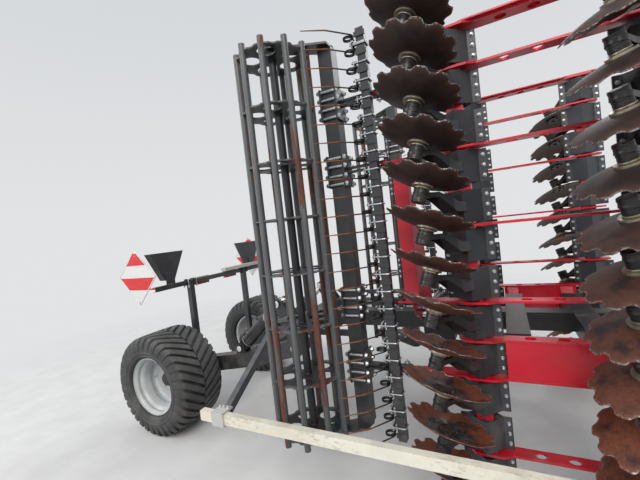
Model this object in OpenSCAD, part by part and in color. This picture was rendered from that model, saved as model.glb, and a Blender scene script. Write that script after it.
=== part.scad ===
// Trailed compact disc harrow, two wings folded upright for the road.
// Millimetres. +X is forward, +Y is the machine's left, +Z is up.
// A wing is drawn as it works: x forward, y outward from its hinge, z up from its hinge.
// Origin: on the ground under the middle of the machine's length and width.

/* [Overall] */
// Centre of the towing eye, forward of the origin
eye_x = 3648; // [3400:1:3900]
// Centre of the transport wheels, behind the origin
wheel_x = 3180; // [3000:1:3300]

/* [Discs] */
// Discs in one row of one wing
discs_per_row = 12; // [6:1:12]
// Distance between two discs of a row
disc_pitch = 250; // [235:1:265]
// Disc diameter at the tips
disc_d = 520; // [460:1:560]
// Disc plate thickness
disc_t = 6; // [4:0.5:8]
// Radius of the ball that the dish is part of
dish_r = 620; // [500:1:900]
// Notches round a disc
notches = 12; // [8:1:14]
// Depth of a notch
notch_depth = 34; // [15:1:42]
// Angle of a disc to the direction of travel
cut_angle = 17; // [10:1:20]
// Lean of a disc
lean_angle = 14; // [8:1:18]

/* [Gangs] */
// Side of the square gang tube
gang_tube = 100; // [80:1:110]
// Distance from the rear gang tube to the front one
gang_gap = 950; // [900:1:1100]
// Gang tube's centre below the wing hinge
gang_drop = 105; // [100:1:140]
// Diameter of a rubber rod in an arm clamp
rubber_d = 44; // [42:1:48]
// Plate of an arm clamp
clamp_t = 8; // [6:1:10]
// Width of an arm clamp along the tube
clamp_w = 206; // [160:1:212]
// Hub centre below the gang tube's centre
hub_drop = 357; // [330:1:380]
// Hub centre behind the gang tube's centre
hub_back = 210; // [180:1:240]
// Hub centre outward of its clamp's centre
hub_shift = 88; // [60:1:100]

/* [Wing] */
// Wing hinge from the machine's centre line
hinge_y = 765; // [740:1:800]
// Wing hinge above the ground
hinge_z = 920; // [900:1:960]
// Innermost hub from the machine's centre line, unfolded
first_hub = 206; // [204:1:240]
// Cheek plate thickness
cheek_t = 15; // [10:1:20]
// Hinge pin diameter
pin_d = 50; // [40:1:60]

/* [Tine harrow] */
// Tines on one wing
tine_count = 24; // [12:1:26]
// Distance between two tines
tine_pitch = 125; // [115:1:130]
// Diameter of the tine wire
tine_d = 10; // [8:1:14]
// Tine bar behind the rear gang tube
tine_bar_back = 560; // [540:1:600]
// Side of the square tine bar
tine_bar = 60; // [50:1:70]

/* [Roller] */
// Roller diameter over its tubes
roller_d = 560; // [500:1:580]
// Diameter of a roller tube
roller_tube = 45; // [35:1:50]
// Number of roller tubes
roller_tubes = 10; // [8:1:12]
// Roller length
roller_len = 2840; // [2400:1:2860]
// Roller axis behind the rear gang tube
roller_back = 1190; // [1170:1:1220]
// Roller axis below the wing hinge
roller_drop = 365; // [350:1:400]
// Side of the square roller beam
roller_beam = 110; // [90:1:120]
// Roller beam behind the rear gang tube
roller_beam_back = 860; // [840:1:880]

/* [Wheels] */
// Tyre diameter
tyre_d = 1066; // [1000:1:1100]
// Tyre width
tyre_w = 550; // [450:1:560]
// Rim diameter
rim_d = 590; // [560:1:610]
// Wheel's middle from the centre line
wheel_y = 830; // [825:1:860]

/* [Chassis] */
// Side of the square chassis tubes
frame_tube = 150; // [120:1:160]
// Clear height of the chassis above the wing hinges
frame_gap = 40; // [35:1:60]
// Axle arm pivot behind the rear gang tube
axle_pivot_back = 1680; // [1670:1:1720]
// Axle arm pivot above the ground
axle_pivot_z = 850; // [820:1:860]
// Axle arm's middle from the centre line
axle_arm_y = 470; // [440:1:480]
// Width of an axle arm
axle_arm_w = 120; // [80:1:126]
// Height of the towing eye
eye_z = 560; // [500:1:650]
// Bore of the towing eye
eye_bore = 50; // [40:1:50]
// Parking stand forward of the origin
stand_x = 2750; // [2600:1:2900]

/* [Guard rail] */
// Side guard rail from the centre line, folded
rail_y = 1545; // [1520:1:1560]
// Guard rail above the ground, folded
rail_z = 700; // [660:1:720]
// Rail length
rail_len = 3170; // [2900:1:3250]

/* [Hidden] */
$fn = 48;
seat = 0.3;
run_gap = 0.05;
weld = 2;

// Gang geometry, in wing coordinates
clamp_y0 = first_hub - hinge_y - hub_shift;
half_y0 = clamp_y0 + disc_pitch / 2;
wing_end = half_y0 + (discs_per_row - 1) * disc_pitch;
gang_start = clamp_y0 - clamp_w / 2 - 12;
tube_h = gang_tube / 2;
corner_in = tube_h + rubber_d / 2 * (1 + sqrt(2));
corner_out = corner_in + clamp_t * sqrt(2);
flange_x = corner_in + 52;
// Rows: [x, side of the disc's hollow (1 outward), first clamp, number of discs]
ROWS = [[0, 1, 0, discs_per_row], [gang_gap, -1, 1, discs_per_row - 1]];

// Stations along the wing between clamps: [steps of the pitch, reaches the rear pivots]
STATIONS = [[0, false], [2, true], [3, false], [4, true], [6, false], [8, true], [10, true], [11, false]];
function station_y(i) = half_y0 + i * disc_pitch;
pivot_back = 490;
arm_pin_d = 32;
tower_x = -330;
tower_cyl = 65;

// Roller geometry, in wing coordinates
roller_y0 = -455;
roller_mid = roller_y0 + roller_len / 2;
star_t = 10;
stars = 8;
shaft_d = 50;
arm_plate_t = 14;
roller_axis_x = -roller_back;
beam_clamp_t = 14;
beam_rod_d = 20;
beam_rods = [36, 98];

// Tine bar, in wing coordinates
arm_lift = 5;
arm_half_h = 30;
tine_bar_z = -gang_drop - arm_lift - arm_half_h - tine_bar / 2;
tine_y0 = -490;
tine_bar_len = (tine_count - 1) * tine_pitch + 90;
coil_r = 27;
tine_lean = 46;
tine_bend = 20;
tine_leg = 200;
tine_tip = 170;

// Chassis
frame_z = hinge_z + frame_gap + frame_tube / 2;
cross_x = [240, 710];
lug_t = 20;
hinge_len = 100;
hinge_r = pin_d / 2 + 20;
wheel_z = tyre_d / 2;
spine_front = 1300;
axle_pivot_r = 75;

// Fold cylinder: wing pin [y, z] in wing coordinates, base pin [y, z] on the chassis
fold_pin = [300, 260];
fold_base = [-350, hinge_z + 262];
fold_bore = 100;
fold_rod_d = 50;
fold_pin_d = 40;
eye_w = 60;
fold_from = [fold_base[0], fold_base[1]];
fold_to = [hinge_y - fold_pin[1], hinge_z + fold_pin[0]];
fold_len = norm(fold_to - fold_from);
fold_tilt = atan2(fold_to[1] - fold_from[1], fold_to[0] - fold_from[0]);
fold_tube_len = fold_len - 85;

// Axle cylinder: pin on the arm and pin on the chassis, [x, z]
lift_arm_pin = [-2400, 800];
lift_top_pin = [-1835, 1290];
lift_vec = lift_top_pin - lift_arm_pin;
lift_len = norm(lift_vec);
lift_tilt = atan2(lift_vec[1], lift_vec[0]);
lift_bore = 136;
lift_rod_d = 64;
lift_eye_w = 60;
lift_pin_d = 40;
lift_tube_len = 480;
lift_pocket = 60;
elbow = [-2200, 700];
elbow_r = 76;
axle_tube = [140, 120];

// Places
module side(s) {
    if (s < 0) mirror([0, 1, 0]) children();
    else children();
}
module wing(s) {
    side(s) translate([0, hinge_y, hinge_z]) rotate([90, 0, 0]) children();
}
module along_x(l) {
    rotate([0, 90, 0]) linear_extrude(l, center = true) children();
}
module rod_x(d, l) {
    rotate([0, 90, 0]) cylinder(d = d, h = l, center = true);
}
module rod_y(d, l) {
    rotate([90, 0, 0]) cylinder(d = d, h = l, center = true);
}
module bar(size, at) {
    translate(at) cube(size, center = true);
}
// A plate in the XZ plane, t thick along Y, from an outline of [x, z] points
module plate_xz(t) {
    rotate([90, 0, 0]) linear_extrude(t, center = true) children();
}
// A plate in the YZ plane, t thick along X, from an outline of [y, z] points
module plate_yz(t) {
    rotate([90, 0, 90]) linear_extrude(t, center = true) children();
}
// Two round ends joined by a strip whose edges lie a little inside them
module slot_hull(a, ra, b, rb) {
    inset = 0.4;
    d = norm(b - a);
    turn = atan2(b[1] - a[1], b[0] - a[0]);
    skew = asin((ra - rb) / d);
    pa = (ra - inset) * [sin(skew), cos(skew)];
    pb = [d, 0] + (rb - inset) * [sin(skew), cos(skew)];
    translate(a) rotate(turn) {
        circle(ra);
        translate([d, 0]) circle(rb);
        polygon([pa, pb, [pb[0], -pb[1]], [pa[0], -pa[1]]]);
    }
}

// Disc: a dish with a flat middle, concave towards +Z, notched round its edge
dish_depth = dish_r - sqrt(dish_r * dish_r - disc_d * disc_d / 4);
flat_r = 70;
flat_z = dish_r - sqrt(dish_r * dish_r - flat_r * flat_r);
notch_r = 52;
module dish_section() {
    difference() {
        intersection() {
            translate([0, dish_r]) circle(dish_r, $fn = 360);
            translate([0, flat_z]) square([disc_d / 2, dish_depth + disc_t - flat_z]);
        }
        difference() {
            translate([0, dish_r + disc_t]) circle(dish_r, $fn = 360);
            square([flat_r, flat_z + disc_t]);
        }
    }
}
module notched_disc() {
    difference() {
        rotate_extrude($fn = 96) dish_section();
        for (i = [0:notches - 1]) rotate(i * 360 / notches)
            translate([disc_d / 2 - notch_depth + notch_r, 0, -1])
                cylinder(r = notch_r, h = dish_depth + disc_t + 2);
    }
}
// Places in a row: the clamp's centre, and the hub with +Z on its axis, towards the hollow side
module at_clamps(row) {
    for (i = [row[2]:row[2] + row[3] - 1])
        translate([row[0], clamp_y0 + i * disc_pitch, -gang_drop]) side(row[1]) children();
}
module at_hub() {
    translate([-hub_back, hub_shift, -hub_drop])
        rotate([0, 0, -cut_angle]) rotate([lean_angle - 90, 0, 0]) children();
}
hub_len = 84;
hub_r = 43;
hub_cap = 20;
module disc_row(row) {
    at_clamps(row) at_hub() {
        translate([0, 0, hub_len / 2 + hub_cap]) notched_disc();
        translate([0, 0, hub_len / 2 + seat]) cylinder(r = flat_r - 6, h = hub_cap + flat_z + disc_t + 8);
    }
}

// Arm clamp: two bent plates bolted at their flanges round the tube and its rubber rods
module clamp_outline() {
    rotate(45) square(corner_out * sqrt(2), center = true);
    square([2 * flange_x, 2 * clamp_t], center = true);
}
// Forged arm seen from the side: [back, down, half width] from clamp to hub
ARM = [[22, 96, 44], [70, 190, 36], [150, 290, 30], [hub_back, hub_drop, 46]];
module arm_outline() {
    for (i = [0:len(ARM) - 2])
        slot_hull([-ARM[i][0], -ARM[i][1]], ARM[i][2], [-ARM[i + 1][0], -ARM[i + 1][1]], ARM[i + 1][2]);
}
// The arm seen from the front: it leans out from the clamp to the hub
module arm_front_outline() {
    y = hub_shift;
    polygon([[-34, -88], [34, -88], [34, -170], [y + 14, 70 - hub_drop], [y + 14, -hub_drop - 60],
        [y - 14, -hub_drop - 60], [y - 18, 70 - hub_drop], [-26, -190]]);
}
module arm_row(row) {
    at_clamps(row) {
        difference() {
            union() {
                plate_xz(clamp_w) clamp_outline();
                intersection() {
                    translate([0, hub_shift / 2, 0]) plate_xz(hub_shift + 60) arm_outline();
                    plate_yz(700) arm_front_outline();
                }
            }
            plate_xz(clamp_w + 2) rotate(45) square(corner_in * sqrt(2), center = true);
        }
        at_hub() cylinder(r = hub_r, h = hub_len, center = true);
    }
}
module rubber_rods(row) {
    at_clamps(row) for (a = [0:3]) rotate([0, a * 90, 0])
        translate([tube_h + rubber_d / 2, 0, 0]) rod_y(rubber_d - 0.2, clamp_w - 8);
}

// Gang tubes
module gang_beam(row) {
    l = wing_end - gang_start;
    translate([row[0], (wing_end + gang_start) / 2, -gang_drop]) difference() {
        cube([gang_tube, l, gang_tube], center = true);
        cube([gang_tube - 16, l + 2, gang_tube - 16], center = true);
    }
}

// Cheek plates join the two gang tubes and carry the rear pivots
module cheek_outline(rear) {
    z0 = -gang_drop;
    x_rear = rear ? -pivot_back : -100;
    difference() {
        union() {
            polygon([[x_rear, z0 - 45], [x_rear, z0 + 35], [-80, z0 + 84], [90, z0 + 84],
                [150, z0 + 50], [gang_gap - 150, z0 + 50], [gang_gap - 90, z0 + 84],
                [gang_gap + 95, z0 + 84], [gang_gap + 130, z0 + 40], [gang_gap + 130, z0 - 50],
                [gang_gap + 90, z0 - 88], [gang_gap - 90, z0 - 88], [gang_gap - 150, z0 - 50],
                [150, z0 - 50], [90, z0 - 88], [-70, z0 - 88], [-100, z0 - 50]]);
            if (rear) translate([x_rear, z0 - arm_lift]) circle(42);
        }
        for (row = ROWS) translate([row[0], z0]) square(gang_tube, center = true);
        if (rear) translate([x_rear, z0 - arm_lift]) circle(d = arm_pin_d + 2 * run_gap);
        for (x = [300, 475, 650]) translate([x, z0]) circle(32);
    }
}
module cheeks() {
    for (st = STATIONS)
        translate([0, station_y(st[0]), 0]) plate_xz(cheek_t) cheek_outline(st[1]);
    end_panel();
}
// Kinked end panel outside the last cheek
module end_panel() {
    y = station_y(discs_per_row - 1) + cheek_t / 2;
    z0 = -gang_drop;
    translate([0, y + 5, 0]) plate_xz(10) polygon([[-40, z0 + 84], [gang_gap + 120, z0 + 84],
        [gang_gap + 260, z0 - 60], [gang_gap + 260, z0 - 210], [gang_gap + 150, z0 - 210],
        [gang_gap - 60, z0 - 80], [90, z0 - 80], [-40, z0 - 40]]);
}

// Hinge box between the gang tubes, with a barrel at each hinge
module wing_hinge() {
    y = station_y(2) + cheek_t / 2;
    box_w = disc_pitch - cheek_t;
    box_z = -60;
    difference() {
        union() {
            bar([gang_gap - 2 * flange_x - 10, box_w, 90], [gang_gap / 2, y + box_w / 2, box_z - 45]);
            for (x = cross_x) {
                translate([x, 0, 0]) rod_x(2 * hinge_r, hinge_len);
                translate([x, 0, 0]) plate_yz(hinge_len) polygon([[-hinge_r, 0], [hinge_r, 0],
                    [y + box_w, box_z - weld], [y, box_z - weld], [y, box_z + 10]]);
            }
        }
        for (x = cross_x) translate([x, 0, 0]) rod_x(pin_d + 2 * run_gap, hinge_len + 2);
    }
}

// Tower: cross tube on the cheeks' tails with two plates for the fold cylinder
module tower_outline() {
    z0 = -gang_drop + 45;
    difference() {
        union() {
            polygon([[station_y(4) + 12, z0 + 40], [station_y(4) + 12, z0], [1230, z0], [1230, z0 + 70], [860, z0 + 230],
                [fold_pin[0] + 40, fold_pin[1] + 50], [fold_pin[0] - 50, fold_pin[1] - 10],
                [fold_pin[0] + 10, 100]]);
            translate(fold_pin) circle(62);
        }
        translate([760, z0 + 95]) circle(45);
    }
}
module wing_tower(s) {
    y0 = station_y(4) + cheek_t / 2;
    y1 = station_y(8) - cheek_t / 2;
    x = tower_x + s * tower_cyl;
    bar([100, y1 - y0, 90], [x, (y0 + y1) / 2, -gang_drop]);
    for (k = [-1, 1]) {
        translate([x + k * (eye_w / 2 + 12), 0, 0]) plate_yz(16) tower_outline();
        translate([x + k * (eye_w / 2 + 26), fold_pin[0], fold_pin[1]]) rod_x(70, 14);
    }
}

// Roller frame
roller_y_in = roller_y0 - 18;
roller_y_out = roller_y0 + roller_len + 18;
end_t = 16;
module roller_beam_part() {
    bar([roller_beam, roller_y_out - roller_y_in, roller_beam],
        [-roller_beam_back, (roller_y_in + roller_y_out) / 2, -gang_drop]);
}
// End plate from the beam's end to the roller's shaft
module roller_end_plate() {
    z0 = -gang_drop;
    plate_xz(end_t) difference() {
        union() {
            slot_hull([-roller_beam_back, z0], 56, [roller_axis_x, -roller_drop], 62);
            polygon([[-roller_beam_back - 20, z0], [-roller_beam_back + 48, z0 + 10],
                [-roller_beam_back + 48, z0 - 100], [roller_axis_x, -roller_drop - 40]]);
        }
        translate([roller_axis_x, -roller_drop]) circle(d = shaft_d + 2 * run_gap);
    }
}
module roller_arms() {
    z0 = -gang_drop;
    for (y = [roller_y_in - end_t / 2, roller_y_out + end_t / 2])
        translate([0, y, 0]) roller_end_plate();
    for (st = STATIONS) if (st[1]) translate([0, station_y(st[0]), 0]) {
        for (k = [-1, 1]) translate([0, k * (cheek_t / 2 + seat + arm_plate_t / 2), 0])
            plate_xz(arm_plate_t) difference() {
                union() {
                    slot_hull([-pivot_back, z0 - arm_lift], arm_half_h,
                        [-roller_beam_back + roller_beam / 2 + 14, z0 - arm_lift], arm_half_h);
                    translate([-pivot_back, z0 - arm_lift]) circle(42);
                }
                translate([-roller_beam_back, z0]) square(roller_beam, center = true);
            }
        translate([-pivot_back, 0, z0 - arm_lift]) rod_y(arm_pin_d, cheek_t + 2 * arm_plate_t + 40);
        for (k = [-1, 1]) {
            bar([beam_clamp_t, 2 * beam_rods[1] + 44, roller_beam + 2 * beam_rod_d + 14],
                [-roller_beam_back + k * (roller_beam + beam_clamp_t) / 2, 0, z0]);
            for (v = beam_rods, j = [-1, 1])
                translate([-roller_beam_back, j * v, z0 + k * (roller_beam / 2 + beam_rod_d / 2 + 2)])
                    rod_x(beam_rod_d, roller_beam + 2 * beam_clamp_t + 44);
        }
    }
}
// Cage roller about +Y at its axis: tubes on star plates, with shaft ends
module star_plate() {
    plate_xz(star_t) difference() {
        circle(roller_d / 2 - roller_tube * 0.45);
        circle(30);
        for (i = [0:roller_tubes / 2 - 1]) rotate(i * 720 / roller_tubes)
            translate([roller_d * 0.27, 0]) circle(roller_d * 0.115);
        for (i = [0:roller_tubes - 1]) rotate((i + 0.5) * 360 / roller_tubes)
            translate([roller_d / 2 + 12, 0]) circle(46);
    }
}
module roller_cage() {
    translate([roller_axis_x, 0, -roller_drop]) {
        for (i = [0:roller_tubes - 1]) rotate([0, i * 360 / roller_tubes, 0])
            translate([roller_d / 2 - roller_tube / 2, roller_mid, 0]) rod_y(roller_tube, roller_len);
        for (k = [0:stars - 1])
            translate([0, roller_y0 + star_t / 2 + 40 + k * (roller_len - star_t - 80) / (stars - 1), 0])
                star_plate();
        translate([0, roller_mid, 0]) rod_y(60.4, roller_len - 20);
        for (k = [-1, 1]) translate([0, roller_mid + k * (roller_len / 2 + 8), 0]) rod_y(shaft_d, 60);
    }
}

// Tine harrow
module tine_bar_part() {
    y1 = tine_y0 - 45;
    bar([tine_bar, tine_bar_len, tine_bar], [-tine_bar_back, y1 + tine_bar_len / 2, tine_bar_z]);
    for (i = [0:tine_count - 1]) translate([-tine_bar_back, tine_y0 + i * tine_pitch, tine_bar_z]) {
        bar([tine_bar + 20, 34, 10], [0, 0, -tine_bar / 2 - 5]);
    }
}
// Coil with its leg: the turns are rings of wire side by side
module tine() {
    p = tine_d * 0.92;
    r = tine_d / 2;
    rotate([90, 0, 0]) rotate_extrude() polygon(concat(
        [for (k = [-1:1]) each [[coil_r + r * 0.5, (k - 0.5) * p], [coil_r + r, (k - 0.2) * p],
            [coil_r + r, (k + 0.2) * p]]], [[coil_r + r * 0.5, 1.5 * p]],
        [[coil_r - r * 0.5, 1.5 * p]], [for (k = [1:-1:-1]) each [[coil_r - r, (k + 0.2) * p],
            [coil_r - r, (k - 0.2) * p], [coil_r - r * 0.5, (k - 0.5) * p]]]));
    translate([-coil_r * 0.6, 0, -coil_r * 0.8]) rotate([0, tine_lean, 0]) {
        translate([0, 0, -tine_leg]) cylinder(d = tine_d, h = tine_leg + 4);
        translate([0, 0, 4 - tine_leg]) rotate([0, tine_bend, 0]) translate([0, 0, -tine_tip])
            cylinder(d1 = tine_d * 0.6, d2 = tine_d - 0.6, h = tine_tip + 1);
    }
}
module tine_row() {
    drop = tine_bar / 2 + 10 + coil_r + tine_d / 2 + seat;
    for (i = [0:tine_count - 1])
        translate([-tine_bar_back, tine_y0 + i * tine_pitch, tine_bar_z - drop]) tine();
}

// Guard rail, clamped on the wing for the road
rail_w = 50;
rail_h = 75;
rail_rear = -1900;
rail_local = [rail_z - hinge_z, hinge_y - rail_y];
strut_x = [-1720, 1155];
carrier_y = 200;
module guard_rail() {
    bar([rail_len, rail_h, rail_w], [rail_rear + rail_len / 2, rail_local[0], rail_local[1]]);
}
module guard_struts() {
    for (i = [0:1]) translate([strut_x[i], 0, 0]) {
        top = i == 0 ? [carrier_y, -40] : [station_y(1), -gang_drop - 20];
        plate_yz(50) slot_hull(rail_local + [0, rail_w / 2 + 36], 30, top, 30);
        for (k = [-1, 1]) bar([110, 14, rail_w + 50],
            [0, rail_local[0] + k * (rail_h / 2 + 7), rail_local[1] + 25]);
        bar([110, rail_h + 28, 12], [0, rail_local[0], rail_local[1] + rail_w / 2 + 6]);
        bar([110, rail_h + 28, 12], [0, rail_local[0], rail_local[1] - rail_w / 2 - 6]);
    }
    carrier_rear = strut_x[0] - 25;
    carrier_front = -roller_beam_back + 35;
    bar([carrier_front - carrier_rear, 50, 26], [(carrier_front + carrier_rear) / 2, carrier_y,
        -gang_drop + roller_beam / 2 + 13]);
    front = gang_gap + tube_h;
    bar([strut_x[1] - front, 30, 60], [(strut_x[1] + front) / 2, station_y(1), -gang_drop - 20]);
}

// Cylinders: barrel along +X from its base eye, rod ending in its own eye and pin
module cyl_barrel(bore, tube_len, w, pin, rod) {
    difference() {
        union() {
            rod_y(min(bore * 0.95, pin * 2.4), w);
            bar([bore * 0.75, w, bore * 0.8], [bore * 0.375, 0, 0]);
            translate([bore * 0.7, 0, 0]) rotate([0, 90, 0]) cylinder(d = bore, h = tube_len - bore * 0.7);
            translate([tube_len - 46, 0, 0]) rotate([0, 90, 0]) cylinder(d = bore + 14, h = 46);
        }
        rod_y(pin + 2 * run_gap, w + 20);
        translate([bore * 0.9, 0, 0]) rotate([0, 90, 0]) cylinder(d = rod + 2 * run_gap, h = tube_len);
    }
}
module cyl_rod(rod, len_all, tube_len, w, pin, stroke) {
    start = tube_len - stroke;
    translate([start, 0, 0]) rotate([0, 90, 0]) cylinder(d = rod, h = len_all - start - pin * 0.5);
    translate([len_all, 0, 0]) rod_y(pin * 2.1, w);
    translate([len_all, 0, 0]) rod_y(pin, w + 2 * 3.6);
}

// Chassis
module main_frame_part() {
    half = hinge_y - 125;
    bar([spine_front + 1760, frame_tube, frame_tube], [(spine_front - 1760) / 2, 0, frame_z]);
    for (x = cross_x) bar([frame_tube, 2 * half, frame_tube], [x, 0, frame_z]);
    bar([240, 2 * 420, frame_tube], [tower_x, 0, frame_z]);
    bar([frame_tube, 2 * (axle_arm_y + 75), frame_tube], [-1690, 0, frame_z]);
    for (s = [-1, 1]) side(s) {
        for (k = [-1, 1]) {
            translate([tower_x - s * tower_cyl + k * (eye_w / 2 + 9 + seat), 0, 0]) plate_yz(18)
                difference() {
                    slot_hull([-fold_base[0], fold_base[1]], 52, [-fold_base[0], frame_z], 68);
                    translate([-fold_base[0], frame_z - 60]) square([200, frame_tube], center = true);
                }
        }
    }
}
module fold_base_pins() {
    for (s = [-1, 1]) side(s)
        translate([tower_x - s * tower_cyl, -fold_base[0], fold_base[1]]) rod_x(fold_pin_d, eye_w + 50);
}
bracket_t = 18;
rod_room = 4;
bracket_y = axle_arm_w / 2 + seat + bracket_t / 2;
pivot_d = 60;
module lift_brackets() {
    for (s = [-1, 1], k = [-1, 1]) side(s) translate([0, axle_arm_y + k * bracket_y, 0]) {
        plate_xz(bracket_t) {
            slot_hull(lift_top_pin, 50, [-1690, frame_z], 70);
            slot_hull([-axle_pivot_back, axle_pivot_z], 88, [-1690, frame_z], 66);
        }
        boss = bracket_y - bracket_t / 2 - lift_eye_w / 2 - seat - rod_room;
        translate([lift_top_pin[0], -k * (bracket_t + boss) / 2, lift_top_pin[1]]) rod_y(80, boss);
        translate([lift_top_pin[0], k * (bracket_t / 2 + 8), lift_top_pin[1]]) rod_y(lift_pin_d, 20);
    }
    for (s = [-1, 1]) side(s) {
        translate([-axle_pivot_back, axle_arm_y, axle_pivot_z]) rod_y(pivot_d, 2 * bracket_y + 50);
    }
}
module hinge_lug_set() {
    for (s = [-1, 1], x = cross_x) side(s) {
        for (k = [-1, 1]) translate([x + k * (hinge_len / 2 + seat + lug_t / 2), 0, 0])
            plate_yz(lug_t) difference() {
                union() {
                    slot_hull([hinge_y, hinge_z], 48, [hinge_y - 150, frame_z], 70);
                }
                translate([hinge_y - 125 - 300, frame_z - 75]) square([300, 150]);
                translate([hinge_y, hinge_z]) circle(d = pin_d);
            }
        translate([x, hinge_y, hinge_z]) rod_x(pin_d, hinge_len + 2 * lug_t + 30);
    }
}
// Drawbar: a cranked box beam from the spine down to the eye
module drawbar_part() {
    w = 160;
    plate_xz(w) polygon([[spine_front, frame_z + 90], [spine_front + 180, frame_z + 90],
        [stand_x - 60, eye_z + 165], [eye_x - 170, eye_z + 70], [eye_x - 170, eye_z - 70],
        [stand_x - 120, eye_z - 60], [spine_front + 90, frame_z - 90], [spine_front, frame_z - 90]]);
}
module towing_eye_part() {
    difference() {
        union() {
            translate([eye_x, 0, eye_z]) cylinder(d = 130, h = 50, center = true);
            bar([130, 80, 50], [eye_x - 95, 0, eye_z]);
            bar([30, 150, 150], [eye_x - 155, 0, eye_z]);
        }
        translate([eye_x, 0, eye_z]) cylinder(d = eye_bore, h = 60, center = true);
    }
}
stand_y = -150;
module stand_sleeve_part() {
    translate([stand_x, stand_y, 0]) {
        difference() {
            bar([90, 90, 460], [0, 0, eye_z + 60]);
            bar([70 + 2 * seat, 70 + 2 * seat, 480], [0, 0, eye_z + 60]);
        }
        bar([120, 25, 200], [0, 57.5, eye_z + 20]);
    }
}
module stand_leg_part() {
    translate([stand_x, stand_y, 0]) {
        translate([0, 0, 20]) bar([70, 70, eye_z + 330], [0, 0, (eye_z + 330) / 2]);
        cylinder(d = 220, h = 20);
    }
}

// Axle carrier: two arms on a pivot tube, joined by a cross tube, stub axles outside
module axle_carrier_part() {
    for (s = [-1, 1]) side(s) {
        translate([0, axle_arm_y, 0]) plate_xz(axle_arm_w) difference() {
            union() {
                slot_hull([-axle_pivot_back, axle_pivot_z], 84, elbow, elbow_r);
                slot_hull(elbow, elbow_r, [-wheel_x, wheel_z], arm_end_r);
                translate([bar_x, wheel_z + post_foot / 2]) square([post_w + 50, post_foot], center = true);
            }
            translate([-axle_pivot_back, axle_pivot_z]) circle(d = pivot_d + 2 * run_gap);
        }
        for (k = [-1, 1]) translate([0, axle_arm_y + k * (lift_eye_w / 2 + 13), 0])
            plate_xz(18) slot_hull(lift_arm_pin, 46, lift_arm_pin + [0, -90], 66);
        translate([lift_arm_pin[0], axle_arm_y, lift_arm_pin[1]]) rod_y(lift_pin_d, lift_eye_w + 2 * 44);
        translate([-wheel_x, (axle_arm_y + wheel_y) / 2, wheel_z]) rod_y(90, wheel_y - axle_arm_y - 150);
        translate([-wheel_x, (axle_arm_y + wheel_y) / 2, wheel_z]) rod_y(stub_d, wheel_y - axle_arm_y + 20);
    }
    bar([axle_tube[0], 2 * axle_arm_y - axle_arm_w + 2 * weld, axle_tube[1]],
        [elbow[0] - 130, 0, elbow[1] - 35]);
}
stub_d = 90;
module rim_part() {
    r = rim_d / 2;
    w = tyre_w / 2;
    bore = stub_d / 2 + run_gap;
    rotate([90, 0, 0]) rotate_extrude($fn = 96) polygon([[0, -62], [52, -62], [66, -48], [66, -6],
        [150, -6], [190, 18], [r - 40, 18], [r - 16, -6], [r - 16, 66 - w], [r - 6, 52 - w],
        [r + 10, 44 - w], [r + 10, 56 - w], [r, 70 - w], [r, w - 70], [r + 10, w - 56],
        [r + 10, w - 44], [r - 6, w - 52], [r - 16, w - 66], [r - 16, 44], [r - 40, 30],
        [186, 30], [146, 6], [78, 6], [78, 60], [bore, 60], [bore, -22], [0, -22]]);
}
module tyre_section() {
    r0 = rim_d / 2 + seat;
    r1 = tyre_d / 2 - 28;
    w = tyre_w / 2;
    polygon([[r0, -w + 78], [r0 + 12, -w + 60], [r0 + 26, -w + 34], [r0 + 70, -w + 8], [r0 + 120, -w], [r1 - 60, -w + 12],
        [r1 - 18, -w + 34], [r1, -w + 80], [r1, w - 80], [r1 - 18, w - 34], [r1 - 60, w - 12],
        [r0 + 120, w], [r0 + 70, w - 8], [r0 + 26, w - 34], [r0 + 12, w - 60],
        [r0, w - 78]]);
}
lugs = 34;
lug_w = 50;
lug_turn = 34;
module tyre_part() {
    rotate([90, 0, 0]) rotate_extrude($fn = 96) tyre_section();
    intersection() {
        rod_y(tyre_d, tyre_w - 60);
        for (s = [-1, 1], i = [0:lugs - 1]) rotate([0, (i + (s > 0 ? 0.5 : 0)) * 360 / lugs, 0])
            translate([0, s * (tyre_w / 4 - 6), tyre_d / 2 - 22]) rotate([0, 0, s * lug_turn])
                cube([lug_w, tyre_w / 2 + 30, 60], center = true);
    }
}
module wheel_place(s) {
    side(s) translate([-wheel_x, wheel_y, wheel_z]) children();
}

// Light bar on two posts
bar_z = 1535;
post_w = 60;
post_foot = 130;
arm_end_r = 88;
bar_x = 80 - wheel_x;
bar_w = 50;
clip_h = 74;
bar_len = 1900;
board = 423;
board_t = 4;
board_back = 243;
board_rise = 144;
lamp_y = 250;
strip = [78, 690, 40];
strip_y = 415;
pocket_y = 710;
module light_bar_part() {
    z0 = wheel_z + post_foot;
    for (s = [-1, 1]) side(s) {
        bar([post_w, post_w, bar_z - bar_w / 2 - z0], [bar_x, axle_arm_y, (bar_z - bar_w / 2 + z0) / 2]);
        for (k = [-1, 1]) bar([bar_w + 40, 12, clip_h], [bar_x, axle_arm_y + k * 44, bar_z]);
        bar([12, pocket_low - 20, pocket_rise + 80],
            [bar_x - bar_w / 2 - 6, pocket_y, bar_z - bar_w / 2 + pocket_rise / 2 + 40]);
        translate([bar_x - bar_w / 2 - 10 - pocket_depth / 2, pocket_y, bar_z - bar_w / 2 + pocket_rise]) pocket();
    }
    bar([bar_w, bar_len, bar_w], [bar_x, 0, bar_z]);
}
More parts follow.
